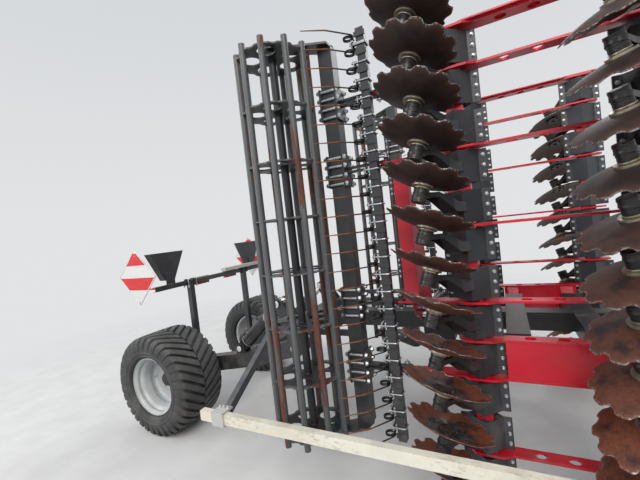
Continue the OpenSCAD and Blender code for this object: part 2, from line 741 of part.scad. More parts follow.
// Pocket of sheet behind the bar, narrow below and wide above, open at the top
pocket_depth = 90;
pocket_low = 130;
pocket_wide = 440;
pocket_h = 310;
pocket_rise = 95;
module pocket_outline(t) {
    polygon([[t - pocket_low / 2, 0], [pocket_low / 2 - t, 0], [pocket_wide / 2 - t, pocket_h],
        [t - pocket_wide / 2, pocket_h]]);
}
module pocket() {
    sheet = 5;
    difference() {
        plate_yz(pocket_depth) pocket_outline(0);
        translate([0, 0, sheet]) plate_yz(pocket_depth - 2 * sheet) pocket_outline(sheet * 1.4);
    }
}
module marker_board_set() {
    arm_t = 8;
    y = bar_len / 2 + arm_t / 2;
    arm = board_back + bar_w / 2 + 30;
    for (s = [-1, 1]) side(s) {
        translate([bar_x - board_back, y + arm_t / 2 + board_t / 2, bar_z + board_rise]) rotate([0, 45, 0])
            cube([board, board_t, board], center = true);
        bar([arm, arm_t, 40], [bar_x + bar_w / 2 - arm / 2, y, bar_z]);
        bar([40, arm_t, 240], [bar_x - board_back, y, bar_z + 115]);
    }
}
module lamp_set() {
    for (s = [-1, 1]) side(s) bar([46, 200, 90], [bar_x - bar_w / 2 - 23, lamp_y, bar_z - 15]);
}
module light_board_part() {
    bar(strip, [bar_x + 16, strip_y, bar_z + clip_h / 2 + strip[2] / 2]);
}

module main_frame() { color("#2b2d30") { main_frame_part(); lift_brackets(); fold_base_pins(); } }
module hinge_lugs() { color("#2b2d30") hinge_lug_set(); }
module drawbar() { color("#2b2d30") drawbar_part(); }
module towing_eye() { color("#3c3d3f") towing_eye_part(); }
module stand_sleeve() { color("#2b2d30") stand_sleeve_part(); }
module stand_leg() { color("#8b8f92") stand_leg_part(); }
module axle_carrier() { color("#2b2d30") axle_carrier_part(); }
module lift_place(s) {
    side(s) translate([lift_arm_pin[0], axle_arm_y, lift_arm_pin[1]]) rotate([0, -lift_tilt, 0]) children();
}
module axle_barrel(s) {
    color("#17181a") lift_place(s) cyl_barrel(lift_bore, lift_tube_len, lift_eye_w, lift_pin_d, lift_rod_d);
}
module axle_rod(s) {
    color("#b9bcc0") lift_place(s)
        cyl_rod(lift_rod_d, lift_len, lift_tube_len, lift_eye_w, lift_pin_d, lift_pocket);
}
module fold_place(s) {
    side(s) translate([tower_x + s * tower_cyl, fold_base[0], fold_base[1]])
        rotate([fold_tilt, 0, 0]) rotate([0, 0, 90]) children();
}
module fold_barrel(s) {
    color("#17181a") fold_place(s) cyl_barrel(fold_bore, fold_tube_len, eye_w, fold_pin_d, fold_rod_d);
}
module fold_rod(s) {
    color("#b9bcc0") fold_place(s) cyl_rod(fold_rod_d, fold_len, fold_tube_len, eye_w, fold_pin_d, 675);
}
module rim(s) { color("#c9cdcc") wheel_place(s) rim_part(); }
module tyre(s) { color("#232425") wheel_place(s) tyre_part(); }
module light_bar() { color("#3a3d40") light_bar_part(); }
module marker_boards() { color("#d8322c") marker_board_set(); }
module lamps() { color("#7a1512") lamp_set(); }
module light_board() { color("#c9cdcc") light_board_part(); }
module gang_front(s) { color("#c4122f") wing(s) gang_beam(ROWS[1]); }
module gang_rear(s) { color("#c4122f") wing(s) gang_beam(ROWS[0]); }
module cheek_plates(s) { color("#c4122f") wing(s) cheeks(); }
module hinge_box(s) { color("#c4122f") wing(s) wing_hinge(); }
module tower(s) { color("#c4122f") wing(s) wing_tower(s); }
module arms_front(s) { color("#3b3e41") wing(s) arm_row(ROWS[1]); }
module arms_rear(s) { color("#3b3e41") wing(s) arm_row(ROWS[0]); }
module rubbers(s) { color("#141414") wing(s) { rubber_rods(ROWS[0]); rubber_rods(ROWS[1]); } }
module discs_front(s) { color("#3f322b") wing(s) disc_row(ROWS[1]); }
module discs_rear(s) { color("#3f322b") wing(s) disc_row(ROWS[0]); }
module roller_frame(s) { color("#2b2d30") wing(s) roller_beam_part(); }
module roller_holders(s) { color("#2b2d30") wing(s) roller_arms(); }
module cage(s) { color("#6d6a66") wing(s) roller_cage(); }
module tine_carrier(s) { color("#2b2d30") wing(s) tine_bar_part(); }
module tines(s) { color("#7b5a46") wing(s) tine_row(); }
module rail(s) { color("#d9d3bd") wing(s) guard_rail(); }
module struts(s) { color("#b9b8ac") wing(s) guard_struts(); }

main_frame();
hinge_lugs();
drawbar();
towing_eye();
stand_sleeve();
stand_leg();
axle_carrier();
axle_barrel(-1);  // axle_barrel_right
axle_barrel(1);  // axle_barrel_left
axle_rod(-1);  // axle_rod_right
axle_rod(1);  // axle_rod_left
rim(-1);  // rim_right
rim(1);  // rim_left
tyre(-1);  // tyre_right
tyre(1);  // tyre_left
light_bar();
marker_boards();
lamps();
light_board();
gang_front(-1);  // gang_beam_front_right
gang_rear(-1);  // gang_beam_rear_right
cheek_plates(-1);  // cheek_plates_right
hinge_box(-1);  // wing_hinge_right
tower(-1);  // wing_tower_right
arms_front(-1);  // disc_arms_front_right
arms_rear(-1);  // disc_arms_rear_right
rubbers(-1);  // rubber_rods_right
discs_front(-1);  // discs_front_right
discs_rear(-1);  // discs_rear_right
roller_frame(-1);  // roller_beam_right
roller_holders(-1);  // roller_arms_right
cage(-1);  // roller_cage_right
tine_carrier(-1);  // tine_bar_right
tines(-1);  // tines_right
rail(-1);  // guard_rail_right
struts(-1);  // guard_struts_right
fold_barrel(-1);  // fold_barrel_right
fold_rod(-1);  // fold_rod_right
gang_front(1);  // gang_beam_front_left
gang_rear(1);  // gang_beam_rear_left
cheek_plates(1);  // cheek_plates_left
hinge_box(1);  // wing_hinge_left
tower(1);  // wing_tower_left
arms_front(1);  // disc_arms_front_left
arms_rear(1);  // disc_arms_rear_left
rubbers(1);  // rubber_rods_left
discs_front(1);  // discs_front_left
discs_rear(1);  // discs_rear_left
roller_frame(1);  // roller_beam_left
roller_holders(1);  // roller_arms_left
cage(1);  // roller_cage_left
tine_carrier(1);  // tine_bar_left
tines(1);  // tines_left
rail(1);  // guard_rail_left
struts(1);  // guard_struts_left
fold_barrel(1);  // fold_barrel_left
fold_rod(1);  // fold_rod_left
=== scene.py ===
# %% [markdown]
# # A folded disc harrow
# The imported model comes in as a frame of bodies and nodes. Everything below is added to that
# frame: pieces that are worked out as arrays, and finishes made of nodes. Nothing is moved that
# the frame already holds.

# %% Load the frame
import bpy
import numpy as np
from mathutils import Matrix, Vector


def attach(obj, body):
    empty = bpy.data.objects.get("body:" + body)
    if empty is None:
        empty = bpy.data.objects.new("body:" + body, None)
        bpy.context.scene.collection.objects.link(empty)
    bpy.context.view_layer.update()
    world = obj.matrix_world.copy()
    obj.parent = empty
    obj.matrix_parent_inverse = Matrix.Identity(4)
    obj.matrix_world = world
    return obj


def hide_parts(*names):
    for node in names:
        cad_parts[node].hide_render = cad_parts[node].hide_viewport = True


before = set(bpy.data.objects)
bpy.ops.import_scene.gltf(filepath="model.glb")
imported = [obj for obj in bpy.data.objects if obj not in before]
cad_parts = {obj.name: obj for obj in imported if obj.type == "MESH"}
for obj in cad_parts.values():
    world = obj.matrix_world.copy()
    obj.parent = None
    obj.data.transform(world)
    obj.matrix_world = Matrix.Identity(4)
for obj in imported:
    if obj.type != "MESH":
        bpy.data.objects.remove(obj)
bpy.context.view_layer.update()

# %% [markdown]
# ## Sizes
# The same named sizes as the solids have, in metres. A piece that sits on a node takes its place
# from these, so it stays on that node. A wing is described as it works: x forward, v outward from
# its hinge, h up. The wings are parked upright, and one matrix a side puts wing places in the world.

# %% Sizes and the wing's matrix
HINGE_Y, HINGE_Z = 0.765, 0.920
GANG_GAP, GANG_DROP, TUBE = 0.950, 0.105, 0.100
PITCH, ROW_LEN, DISC_R, DISC_T, DISH_R = 0.250, 12, 0.260, 0.006, 0.620
CLAMP_V0, CLAMP_T = -0.647, 0.008
HUB_BACK, HUB_SHIFT, HUB_DROP, HUB_HALF = 0.210, 0.088, 0.357, 0.042
CUT, LEAN = 17.0, 14.0
TINES, TINE_PITCH, TINE_V0, TINE_BAR_X, TINE_BAR_H, TINE_BAR = 24, 0.125, -0.490, -0.560, -0.170, 0.060
WIRE_R = 0.005
BEAM_X, ROLLER_X, ROLLER_H, ROLLER_V0, ROLLER_LEN = -0.860, -1.190, -0.365, -0.455, 2.840
WHEEL_X, WHEEL_Y, WHEEL_Z = -3.180, 0.830, 0.533
ROWS = {"rear": (0.0, 1, 0, ROW_LEN), "front": (GANG_GAP, -1, 1, ROW_LEN - 1)}
SIDES = {"right": -1, "left": 1}


def move(x, y, z):
    """A matrix that carries a point by x, y, z."""
    m = np.eye(4)
    m[:3, 3] = x, y, z
    return m


def turn(axis, degrees):
    """A matrix that turns about one axis: cosines on the diagonal, sines beside it."""
    c, s = np.cos(np.radians(degrees)), np.sin(np.radians(degrees))
    i, j = {"x": (1, 2), "y": (2, 0), "z": (0, 1)}[axis]
    m = np.eye(4)
    m[i, i] = m[j, j] = c
    m[i, j], m[j, i] = -s, s
    return m


def on_wing(s):
    """Wing places (x, v, h) in the world: Y = s (hinge - h), Z = hinge + v."""
    return np.array([[1, 0, 0, 0], [0, 0, -s, s * HINGE_Y], [0, 1, 0, HINGE_Z], [0, 0, 0, 1.0]])


def at_clamps(row):
    """A matrix for each arm clamp of a row, mirrored where the row faces the other way."""
    x, side, first, count = ROWS[row]
    flip = np.diag([1.0, side, 1.0, 1.0])
    return [move(x, CLAMP_V0 + i * PITCH, -GANG_DROP) @ flip for i in range(first, first + count)]


def wing(places):
    """Places of one wing, ready for on_both."""
    return lambda s: [on_wing(s) @ m for m in places]


AT_HUB = move(-HUB_BACK, HUB_SHIFT, -HUB_DROP) @ turn("z", -CUT) @ turn("x", LEAN - 90)
print("wing's matrix, right side:", on_wing(-1)[1])

# %% [markdown]
# ## Shapes from arrays
# A surface here is a grid of points, and its faces join each point to its neighbours. A profile
# carried round an axis gives turned parts, a circle carried along a path gives wire and rods, and
# a small part times many matrices gives all bolts of one kind in a single mesh.

# %% Grids, turned parts, tubes and copies


def grid_faces(rows, cols, wrap_rows=False, wrap_cols=False):
    """Four corners a face: (i, j), (i, j+1), (i+1, j+1), (i+1, j), wrapped where the grid closes."""
    i, j = np.meshgrid(np.arange(rows - (not wrap_rows)), np.arange(cols - (not wrap_cols)), indexing="ij")
    i2, j2 = (i + 1) % rows, (j + 1) % cols
    return np.stack([i * cols + j, i * cols + j2, i2 * cols + j2, i2 * cols + j], -1).reshape(-1, 4)


def with_caps(points, closed=False):
    """Rings of points as a closed part: side faces, and a flat face at each end."""
    rings, sides = points.shape[:2]
    faces = [grid_faces(rings, sides, closed, True)]
    if not closed:
        faces += [np.arange(sides)[None, ::-1], np.arange(sides)[None] + (rings - 1) * sides]
    return points.reshape(-1, 3), faces


def turned(profile, steps=24, closed=False):
    """A profile of (radius, height) round Z: x = r cos t, y = r sin t, z = height."""
    r, z = np.array(profile, float).T
    t = np.arange(steps) * 2 * np.pi / steps
    return with_caps(np.stack([r[:, None] * np.cos(t), r[:, None] * np.sin(t),
                               z[:, None] + 0 * t], -1), closed)


def tube(path, radius, sides=8, across=(0, 1, 0)):
    """A circle carried along a path: path point + r (cos a * n + sin a * b), n and b square to it."""
    path = np.array(path, float)
    t = np.gradient(path, axis=0)
    t /= np.linalg.norm(t, axis=1)[:, None]
    n = np.cross(across, t)
    n /= np.linalg.norm(n, axis=1)[:, None]
    b = np.cross(t, n)
    a = np.arange(sides) * 2 * np.pi / sides
    r = np.broadcast_to(radius, len(path))[:, None, None]
    return with_caps(path[:, None] + r * (np.cos(a)[:, None] * n[:, None] + np.sin(a)[:, None] * b[:, None]))


def block(size, at=(0, 0, 0), edge=0.0015):
    """A box with small slanted edges: three rings, the outer ones pulled in by the edge."""
    x, y, z = np.array(size) / 2
    ring = np.array([[-1, -1], [1, -1], [1, 1], [-1, 1]])
    rows = [(x - edge, y - edge, -z), (x, y, edge - z), (x, y, z - edge), (x - edge, y - edge, z)]
    pts = np.array([[(cx * rx, cy * ry, h) for cx, cy in ring] for rx, ry, h in rows])
    return with_caps(pts + np.array(at))


def joined(parts):
    """Several parts as one: points end to end, face numbers moved on."""
    points, faces, base = [], [], 0
    for p, f in parts:
        points.append(p)
        faces += [k + base for k in f]
        base += len(p)
    return np.concatenate(points), faces


def copies(part, matrices):
    """One part times many matrices. A mirrored copy has its faces turned round."""
    points, faces = part
    m = np.array(matrices)
    out = np.einsum("nij,vj->nvi", m[:, :3, :3], points) + m[:, None, :3, 3]
    flips = np.linalg.det(m[:, :3, :3]) < 0
    start = np.arange(len(m))[:, None, None] * len(points)
    more = [np.where(flips[:, None, None], f[None, :, ::-1], f[None]) + start for f in faces]
    return out.reshape(-1, 3), [f.reshape(-1, f.shape[2]) for f in more]


def mesh_of(name, part, finish):
    """A part's points and faces as a mesh with one material."""
    mesh = bpy.data.meshes.new(name)
    mesh.from_pydata(part[0].tolist(), [], [f for k in part[1] for f in k.tolist()])
    mesh.materials.append(finish)
    return mesh


def add_piece(name, part, body, slot, finish, sharp=35.0, **values):
    """Puts a part in the scene, smooth but for edges sharper than an angle, and lets it ride."""
    mesh = mesh_of(name, part, finish)
    for key, value in values.items():
        mesh.attributes.new(key, "FLOAT", "POINT").data.foreach_set("value", np.asarray(value, np.float32))
    mesh.polygons.foreach_set("use_smooth", [True] * len(mesh.polygons))
    mesh.set_sharp_from_angle(angle=np.radians(sharp))
    piece = bpy.data.objects.new(name, mesh)
    bpy.context.scene.collection.objects.link(piece)
    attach(piece, body)
    return piece


def on_both(*rows):
    """Pieces on both sides. A row is a name, a part, its places(s), a body, a slot and a finish; the slot is not used.
    """
    for side, s in SIDES.items():
        for name, part, places, body, slot, finish in rows:
            add_piece(f"{name}_{side}", copies(part, places(s)), f"{body}_{side}", slot, finish)


print("a test ring has", len(turned([(1, 0), (1, 1)])[0]), "points")

# %% [markdown]
# ## Finishes
# Each finish is a small net of nodes on object coordinates, which for these pieces are the
# machine's own metres. Paint gets a slow change of tone, fine grain in its gloss, dust that lies on
# faces that look up and grows towards the ground, and chips where a Bevel node finds an edge.

# %% Node helpers
OPEN = {}


def open_net(owner, shader_name):
    """Opens the nodes of a material or a world: all the helpers below add to the net that is open."""
    owner.use_nodes = True
    OPEN["tree"], OPEN["shader"] = owner.node_tree, owner.node_tree.nodes[shader_name]


def new_finish(name):
    """A material with one principled shader, its net open."""
    finish = bpy.data.materials.new(name)
    open_net(finish, "Principled BSDF")
    return finish


def fill(socket, value):
    """Gives a socket a value, or a link from another node's output."""
    if isinstance(value, bpy.types.NodeSocket):
        OPEN["tree"].links.new(value, socket)
    else:
        socket.default_value = value


def put(kind, settings=None, out=0, **sockets):
    """A node with its settings and its sockets filled, i0 being the first. Gives one of its outputs."""
    node = OPEN["tree"].nodes.new("ShaderNode" + kind)
    for key, value in (settings or {}).items():
        setattr(node, key, value)
    for key, value in sockets.items():
        numbered = key[0] == "i" and key[1:].isdigit()
        fill(node.inputs[int(key[1:]) if numbered else key], value)
    return node.outputs[out]


def here():
    """Object coordinates."""
    return put("TexCoord", out="Object")


def noise(scale, detail=4.0, rough=0.55, stretch=(1, 1, 1)):
    """Noise on object coordinates, stretched where a pattern runs along one way."""
    where = here() if stretch == (1, 1, 1) else put("Mapping", Vector=here(), Scale=stretch)
    return put("TexNoise", out="Fac", Vector=where, Scale=scale, Detail=detail, Roughness=rough)


def between(value, low, high, to_low=0.0, to_high=1.0):
    """A value spread from one range to another, kept inside it."""
    return put("MapRange", {"interpolation_type": "SMOOTHSTEP"}, i0=value, i1=low, i2=high, i3=to_low, i4=to_high)


def free(how, a, b=0.0, c=0.0, clamp=False):
    """One sum on one, two or three values."""
    return put("Math", {"operation": how, "use_clamp": clamp}, i0=a, i1=b, i2=c)


def sums(how, a, b=0.0, c=0.0):
    """The same, kept between 0 and 1."""
    return free(how, a, b, c, clamp=True)


def times(a, b):
    return sums("MULTIPLY", a, b)


def scaled(a, b, c):
    """a * b + c."""
    return sums("MULTIPLY_ADD", a, b, c)


def mixed(amount, a, b):
    """Colour a turning into colour b."""
    a, b = [(*k, 1.0) if isinstance(k, tuple) else k for k in (a, b)]
    return put("Mix", {"data_type": "RGBA"}, out=2, i0=amount, i6=a, i7=b)


def edges(radius=0.003):
    """A rounded normal, and how far it leans from the true one: 0 on flat faces, 1 on an edge."""
    soft, true = put("Bevel", {"samples": 4}, Radius=radius), put("NewGeometry", out="Normal")
    near = put("VectorMath", {"operation": "DOT_PRODUCT"}, out="Value", i0=soft, i1=true)
    return soft, between(near, 0.99, 0.80)


def dust_mask(amount):
    """Dust on faces that look up, more near the ground, broken by noise."""
    up = between(put("SeparateXYZ", out=2, i0=put("TexCoord", out="Normal")), 0.1, 1.0)
    low = between(put("SeparateXYZ", out=2, i0=here()), 1.3, 0.1, 0.15, 0.8)
    patch = between(noise(6.0, 6.0, 0.65), 0.42, 0.66)
    return times(times(scaled(up, 0.8, low), patch), amount)


def dress(tone, rough, metallic=None, bump=()):
    """Fills the open shader. A bump is a strength, a depth, a height and, if there is one, a normal."""
    normal = put("Bump", **dict(zip(("Strength", "Distance", "Height", "Normal"), bump))) if bump else None
    for name, value in (("Base Color", tone), ("Roughness", rough), ("Metallic", metallic), ("Normal", normal)):
        if value is not None:
            fill(OPEN["shader"].inputs[name], value)


def repaint(amount, tone):
    """Mixes another colour over the one that the open shader has."""
    colour = OPEN["shader"].inputs["Base Color"]
    fill(colour, mixed(amount, colour.links[0].from_socket, tone))


print("node helpers ready")

# %% Paint, rubber and bare metal
DUST = (0.30, 0.255, 0.20)
RUST, PALE_RUST = (0.19, 0.062, 0.022), (0.33, 0.13, 0.045)


def paint(name, colour, shade, rough, dust=0.5, chips=0.5, under=(0.10, 0.075, 0.06)):
    """Paint: two tones by slow noise, dust above, chips to what lies under at the edges."""
    finish = new_finish(name)
    tone = mixed(between(noise(2.5, 3.0), 0.35, 0.65), colour, shade)
    soft, edge = edges()
    chip = times(times(edge, between(noise(55.0, 5.0, 0.7), 0.52, 0.60)), chips)
    dusty, grain = dust_mask(dust), noise(120.0, 3.0)
    tone = mixed(dusty, mixed(chip, tone, under), DUST)
    dress(tone, scaled(dusty, 0.5, scaled(grain, 0.16, rough - 0.08)), bump=(0.06, 0.002, grain, soft))
    return finish


def metal(name, colour, shade, rough, rust=0.0, scale=8.0, metallic=1.0):
    """Bare or plated metal: two tones, a fine grain, and rust that grows out of noise."""
    finish = new_finish(name)
    tone = mixed(between(noise(scale, 5.0, 0.6), 0.35, 0.65), colour, shade)
    grain = noise(160.0, 3.0)
    spots = times(between(noise(scale * 2.2, 7.0, 0.7), 0.60 - 0.22 * rust, 0.68), min(1.0, rust * 1.6))
    tone = mixed(spots, tone, mixed(grain, RUST, PALE_RUST))
    dress(tone, scaled(spots, 0.45, scaled(grain, 0.2, rough - 0.1)), scaled(spots, -metallic, metallic),
          (0.10, 0.0015, grain, edges(0.0015)[0]))
    return finish


black_paint = paint("black_paint", (0.020, 0.022, 0.026), (0.032, 0.034, 0.038), 0.38, 0.35, 0.7)
red_paint = paint("red_paint", (0.62, 0.006, 0.026), (0.50, 0.004, 0.020), 0.30, 0.22, 0.6, (0.16, 0.05, 0.04))
pale_paint = paint("pale_paint", (0.42, 0.42, 0.40), (0.52, 0.51, 0.48), 0.50, 0.3, 0.9, (0.12, 0.11, 0.10))
rim_paint = paint("rim_paint", (0.58, 0.60, 0.60), (0.52, 0.54, 0.55), 0.32, 0.35, 0.3, (0.3, 0.29, 0.28))
cylinder_paint = paint("cylinder_paint", (0.012, 0.013, 0.015), (0.020, 0.021, 0.023), 0.24, 0.25, 0.3)
zinc = metal("zinc", (0.60, 0.61, 0.62), (0.46, 0.47, 0.49), 0.38, 0.15, 30.0)
keeper_white = metal("keeper_white", (0.70, 0.70, 0.68), (0.60, 0.60, 0.58), 0.45, 0.1, 12.0, 0.25)
rod_steel = metal("rod_steel", (0.80, 0.81, 0.83), (0.74, 0.75, 0.77), 0.16, 0.0, 5.0)
hub_steel = metal("hub_steel", (0.026, 0.023, 0.022), (0.060, 0.052, 0.048), 0.42, 0.3, 20.0, 0.5)
flange_steel = metal("flange_steel", (0.40, 0.36, 0.27), (0.24, 0.21, 0.17), 0.40, 0.35, 18.0, 0.8)
worn_steel = metal("worn_steel", (0.30, 0.29, 0.28), (0.42, 0.41, 0.40), 0.42, 0.4, 16.0)
print("paints and metals:", len(bpy.data.materials))

# %% [markdown]
# ## Materials that follow the piece
# The discs wear by use: the hollow side is rust with a rubbed steel middle, the outer side is dark
# brown with rust at the rim. Each point carries how far it is from the rim, which side it is on and
# how low its disc stands on the upright wing, so one net of nodes serves all discs. The rust and the
# bare middle fade out towards the highest discs: partly the rust that the lower discs have, partly
# painted shade on the upper discs. The roller's tubes rust in long streaks, so their noise is
# stretched along Z, the way that the tubes stand.

# %% Disc, roller, tine, tyre and board finishes
STRIPE_PAIR, STRIPE_START, BOARD_FACE = 0.27, 0.8, 0.9576
PALE_PLATES, PLATES_BACK, REAR_ROW_END, STARS_END, TUBES_FROM = 1.468, 0.125, 0.15, 0.218, 0.236


def value_of(name):
    """A piece's own value, written point by point when it was made."""
    return put("Attribute", {"attribute_name": name}, out="Fac")


def disc_finish():
    """Dark scale, rust towards the rim, and a rubbed steel middle on the hollow side with a pale ring that is a
    painted highlight. The rust and the middle fade up the wing, partly as painted shade.
    """
    finish = new_finish("disc_steel")
    rim, hollow, age = [value_of(name) for name in ("rim", "hollow", "age")]
    broad, fine = noise(9.0, 6.0, 0.62), noise(70.0, 6.0, 0.7)
    scale = mixed(between(broad, 0.35, 0.65), (0.019, 0.013, 0.012), (0.048, 0.026, 0.021))
    rust = mixed(between(fine, 0.3, 0.7), (0.165, 0.042, 0.019), (0.30, 0.096, 0.045))
    # The third value brings rust and the bare middle to the lower discs. Where it falls away, on the upper discs, the
    # dark is partly painted shade.
    at_rim = times(between(scaled(broad, 0.06, rim), 0.085, 0.03), scaled(age, 0.6, 0.12))
    spread = times(between(broad, 0.30, 0.55), scaled(hollow, 0.25, times(age, 0.70)))
    tone = mixed(sums("MAXIMUM", at_rim, spread), scale, rust)
    middle = times(between(scaled(broad, 0.09, rim), 0.125, 0.185), times(hollow, age))
    steel = mixed(between(noise(13.0, 2.0, 0.5), 0.38, 0.62), (0.055, 0.045, 0.045), (0.130, 0.145, 0.165))
    # A pale ring where the disc's face steps round its middle: a painted highlight.
    step = times(between(rim, 0.140, 0.148), between(rim, 0.160, 0.152))
    steel = mixed(times(step, 0.7), steel, (0.30, 0.30, 0.31))
    worn = times(between(rim, 0.010, 0.002), between(fine, 0.45, 0.6))
    tone = mixed(worn, mixed(times(middle, 0.92), tone, steel), (0.35, 0.33, 0.31))
    bare = sums("MAXIMUM", middle, worn)
    dress(tone, scaled(bare, -0.30, scaled(fine, 0.22, 0.44)), scaled(bare, 0.65, 0.12), (0.16, 0.002, fine))
    return finish


def tine_finish():
    """Black at the coil, rust along the leg: the value along runs from 0 at the coil to 1."""
    finish = new_finish("tine_steel")
    fine = noise(60.0, 5.0, 0.7)
    rusty = between(scaled(fine, 0.5, value_of("along")), 0.35, 0.85)
    tone = mixed(rusty, (0.035, 0.032, 0.031), mixed(fine, (0.14, 0.05, 0.022), (0.30, 0.13, 0.06)))
    dress(tone, scaled(rusty, 0.25, 0.42), scaled(rusty, -0.5, 0.7))
    return finish


def tyre_finish():
    """Black rubber with the tread's tops, the sidewall and its ridges paler than the grooves: partly rubber greyed by
    use, partly a painted highlight on what stands out, with the dark grooves as painted shade.
    """
    finish = new_finish("tyre_rubber")
    fine = noise(140.0, 4.0, 0.6)
    tone = mixed(between(noise(7.0, 5.0, 0.6), 0.35, 0.7), (0.014, 0.014, 0.015), (0.028, 0.028, 0.029))
    # Paler lug tops and ridges: partly rubbed rubber, partly painted highlight.
    tone = mixed(times(value_of("top"), 0.6), tone, (0.080, 0.079, 0.078))
    dress(mixed(dust_mask(0.30), tone, (0.19, 0.18, 0.165)), scaled(fine, 0.2, 0.50), bump=(0.25, 0.001, fine))
    return finish


def board_finish():
    """Red and white stripes level across a board that stands on its corner, black on its holder."""
    finish = new_finish("board_stripes")
    place = put("SeparateXYZ", i0=here()).node.outputs
    phase = sums("FRACT", free("MULTIPLY_ADD", place[2], 1 / STRIPE_PAIR, STRIPE_START))
    tone = mixed(between(phase, 0.495, 0.505), (0.74, 0.74, 0.72), (0.66, 0.010, 0.016))
    tone = mixed(sums("LESS_THAN", free("ABSOLUTE", place[1]), BOARD_FACE), tone, (0.02, 0.021, 0.023))
    tone = mixed(times(noise(20.0, 5.0), 0.12), tone, (0.2, 0.19, 0.17))
    cells = put("TexVoronoi", out="Distance", Vector=here(), Scale=260.0)
    dress(tone, 0.3, bump=(0.1, 0.0005, cells))
    return finish


def strut_finish():
    """Black bar, pale plates where it is clamped to the guard rail: a paint switched by place."""
    finish = paint("strut_paint", (0.058, 0.063, 0.074), (0.080, 0.086, 0.098), 0.34, 0.3, 0.8)
    side = free("ABSOLUTE", put("SeparateXYZ", out=1, i0=here()))
    pale = mixed(noise(9.0, 5.0), (0.42, 0.42, 0.40), (0.56, 0.55, 0.52))
    repaint(sums("GREATER_THAN", side, PALE_PLATES), pale)
    return finish


def arm_finish():
    """Dark grey clamp plates round the gang tubes. The arms and hub housings behind them are switched by place to near
    black: painted shade over their own dark paint, where they sit back among the discs.
    """
    finish = paint("arm_paint", (0.028, 0.032, 0.038), (0.045, 0.049, 0.056), 0.36, 0.30, 0.8)
    along = put("SeparateXYZ", i0=here())
    rear = sums("LESS_THAN", along, -PLATES_BACK)
    front = times(sums("LESS_THAN", along, GANG_GAP - PLATES_BACK), sums("GREATER_THAN", along, REAR_ROW_END))
    # This near black is painted shade on the arms and hub housings behind the clamp plates.
    black = mixed(between(noise(14.0, 5.0), 0.4, 0.7), (0.013, 0.013, 0.014), (0.034, 0.028, 0.026))
    repaint(sums("MAXIMUM", rear, front), black)
    return finish


def roller_finish():
    """Grey tubes round black stars: paint lost in long streaks, on some tubes far more than on others."""
    finish = new_finish("roller_steel")
    place = put("SeparateXYZ", i0=here()).node.outputs
    off = put("CombineXYZ", i0=free("SUBTRACT", place[0], ROLLER_X),
              i1=free("SUBTRACT", free("ABSOLUTE", place[1]), HINGE_Y - ROLLER_H))
    outer = between(put("VectorMath", {"operation": "LENGTH"}, out="Value", i0=off), STARS_END, TUBES_FROM)
    which, streak = noise(4.6, 1.0, stretch=(1, 1, 0.26)), noise(11.0, 5.0, 0.62, stretch=(3.2, 3.2, 0.30))
    fine = noise(110.0, 5.0, 0.7)
    grey = mixed(between(streak, 0.3, 0.7), (0.070, 0.073, 0.077), (0.112, 0.113, 0.115))
    worn = free("ADD", which, free("MULTIPLY_ADD", streak, 0.9, times(fine, 0.10)))
    rusty = times(between(worn, 1.075, 1.125), scaled(outer, 0.9, 0.1))
    deep = mixed(between(streak, 0.40, 0.62), (0.055, 0.021, 0.016), (0.135, 0.040, 0.021))
    rust = mixed(between(fine, 0.40, 0.80), deep, (0.19, 0.062, 0.032))
    dress(mixed(rusty, mixed(outer, (0.016, 0.017, 0.020), grey), rust),
          scaled(rusty, 0.38, scaled(fine, 0.16, 0.34)),
          bump=(0.12, 0.0015, scaled(rusty, 0.5, times(fine, 0.5))))
    return finish


def rail_finish():
    """Cream paint with rubbed marks: fine noise in slow patches only, drawn out along the rail."""
    finish = new_finish("rail_paint")
    slow, fine = noise(5.0, 3.0, stretch=(0.5, 1, 1)), noise(42.0, 7.0, 0.72, stretch=(0.45, 1, 1))
    tone = mixed(between(noise(2.0, 3.0), 0.35, 0.65), (0.80, 0.77, 0.67), (0.74, 0.70, 0.58))
    rubbed = times(between(slow, 0.42, 0.58), between(fine, 0.50, 0.60))
    tone = mixed(times(rubbed, 0.55), tone, (0.42, 0.37, 0.29))
    soft, edge = edges()
    tone = mixed(times(edge, between(fine, 0.50, 0.56)), tone, (0.30, 0.27, 0.22))
    dress(mixed(dust_mask(0.25), tone, DUST), scaled(rubbed, 0.25, 0.42), bump=(0.10, 0.0015, fine, soft))
    return finish


disc_steel, tine_steel, tyre_rubber, board_stripes = disc_finish(), tine_finish(), tyre_finish(), board_finish()
strut_paint, arm_paint, roller_steel, rail_paint = strut_finish(), arm_finish(), roller_finish(), rail_finish()
rubber = paint("rubber", (0.012, 0.012, 0.012), (0.02, 0.02, 0.02), 0.6, 0.3, 0.0)
lamp_red = paint("lamp_red", (0.45, 0.008, 0.010), (0.40, 0.006, 0.008), 0.12, 0.15, 0.0)
print("finishes:", len(bpy.data.materials))

# %% [markdown]
# ## Finishes on the solids
# The solids that are right as they are only get a better finish: their own material slots take it.

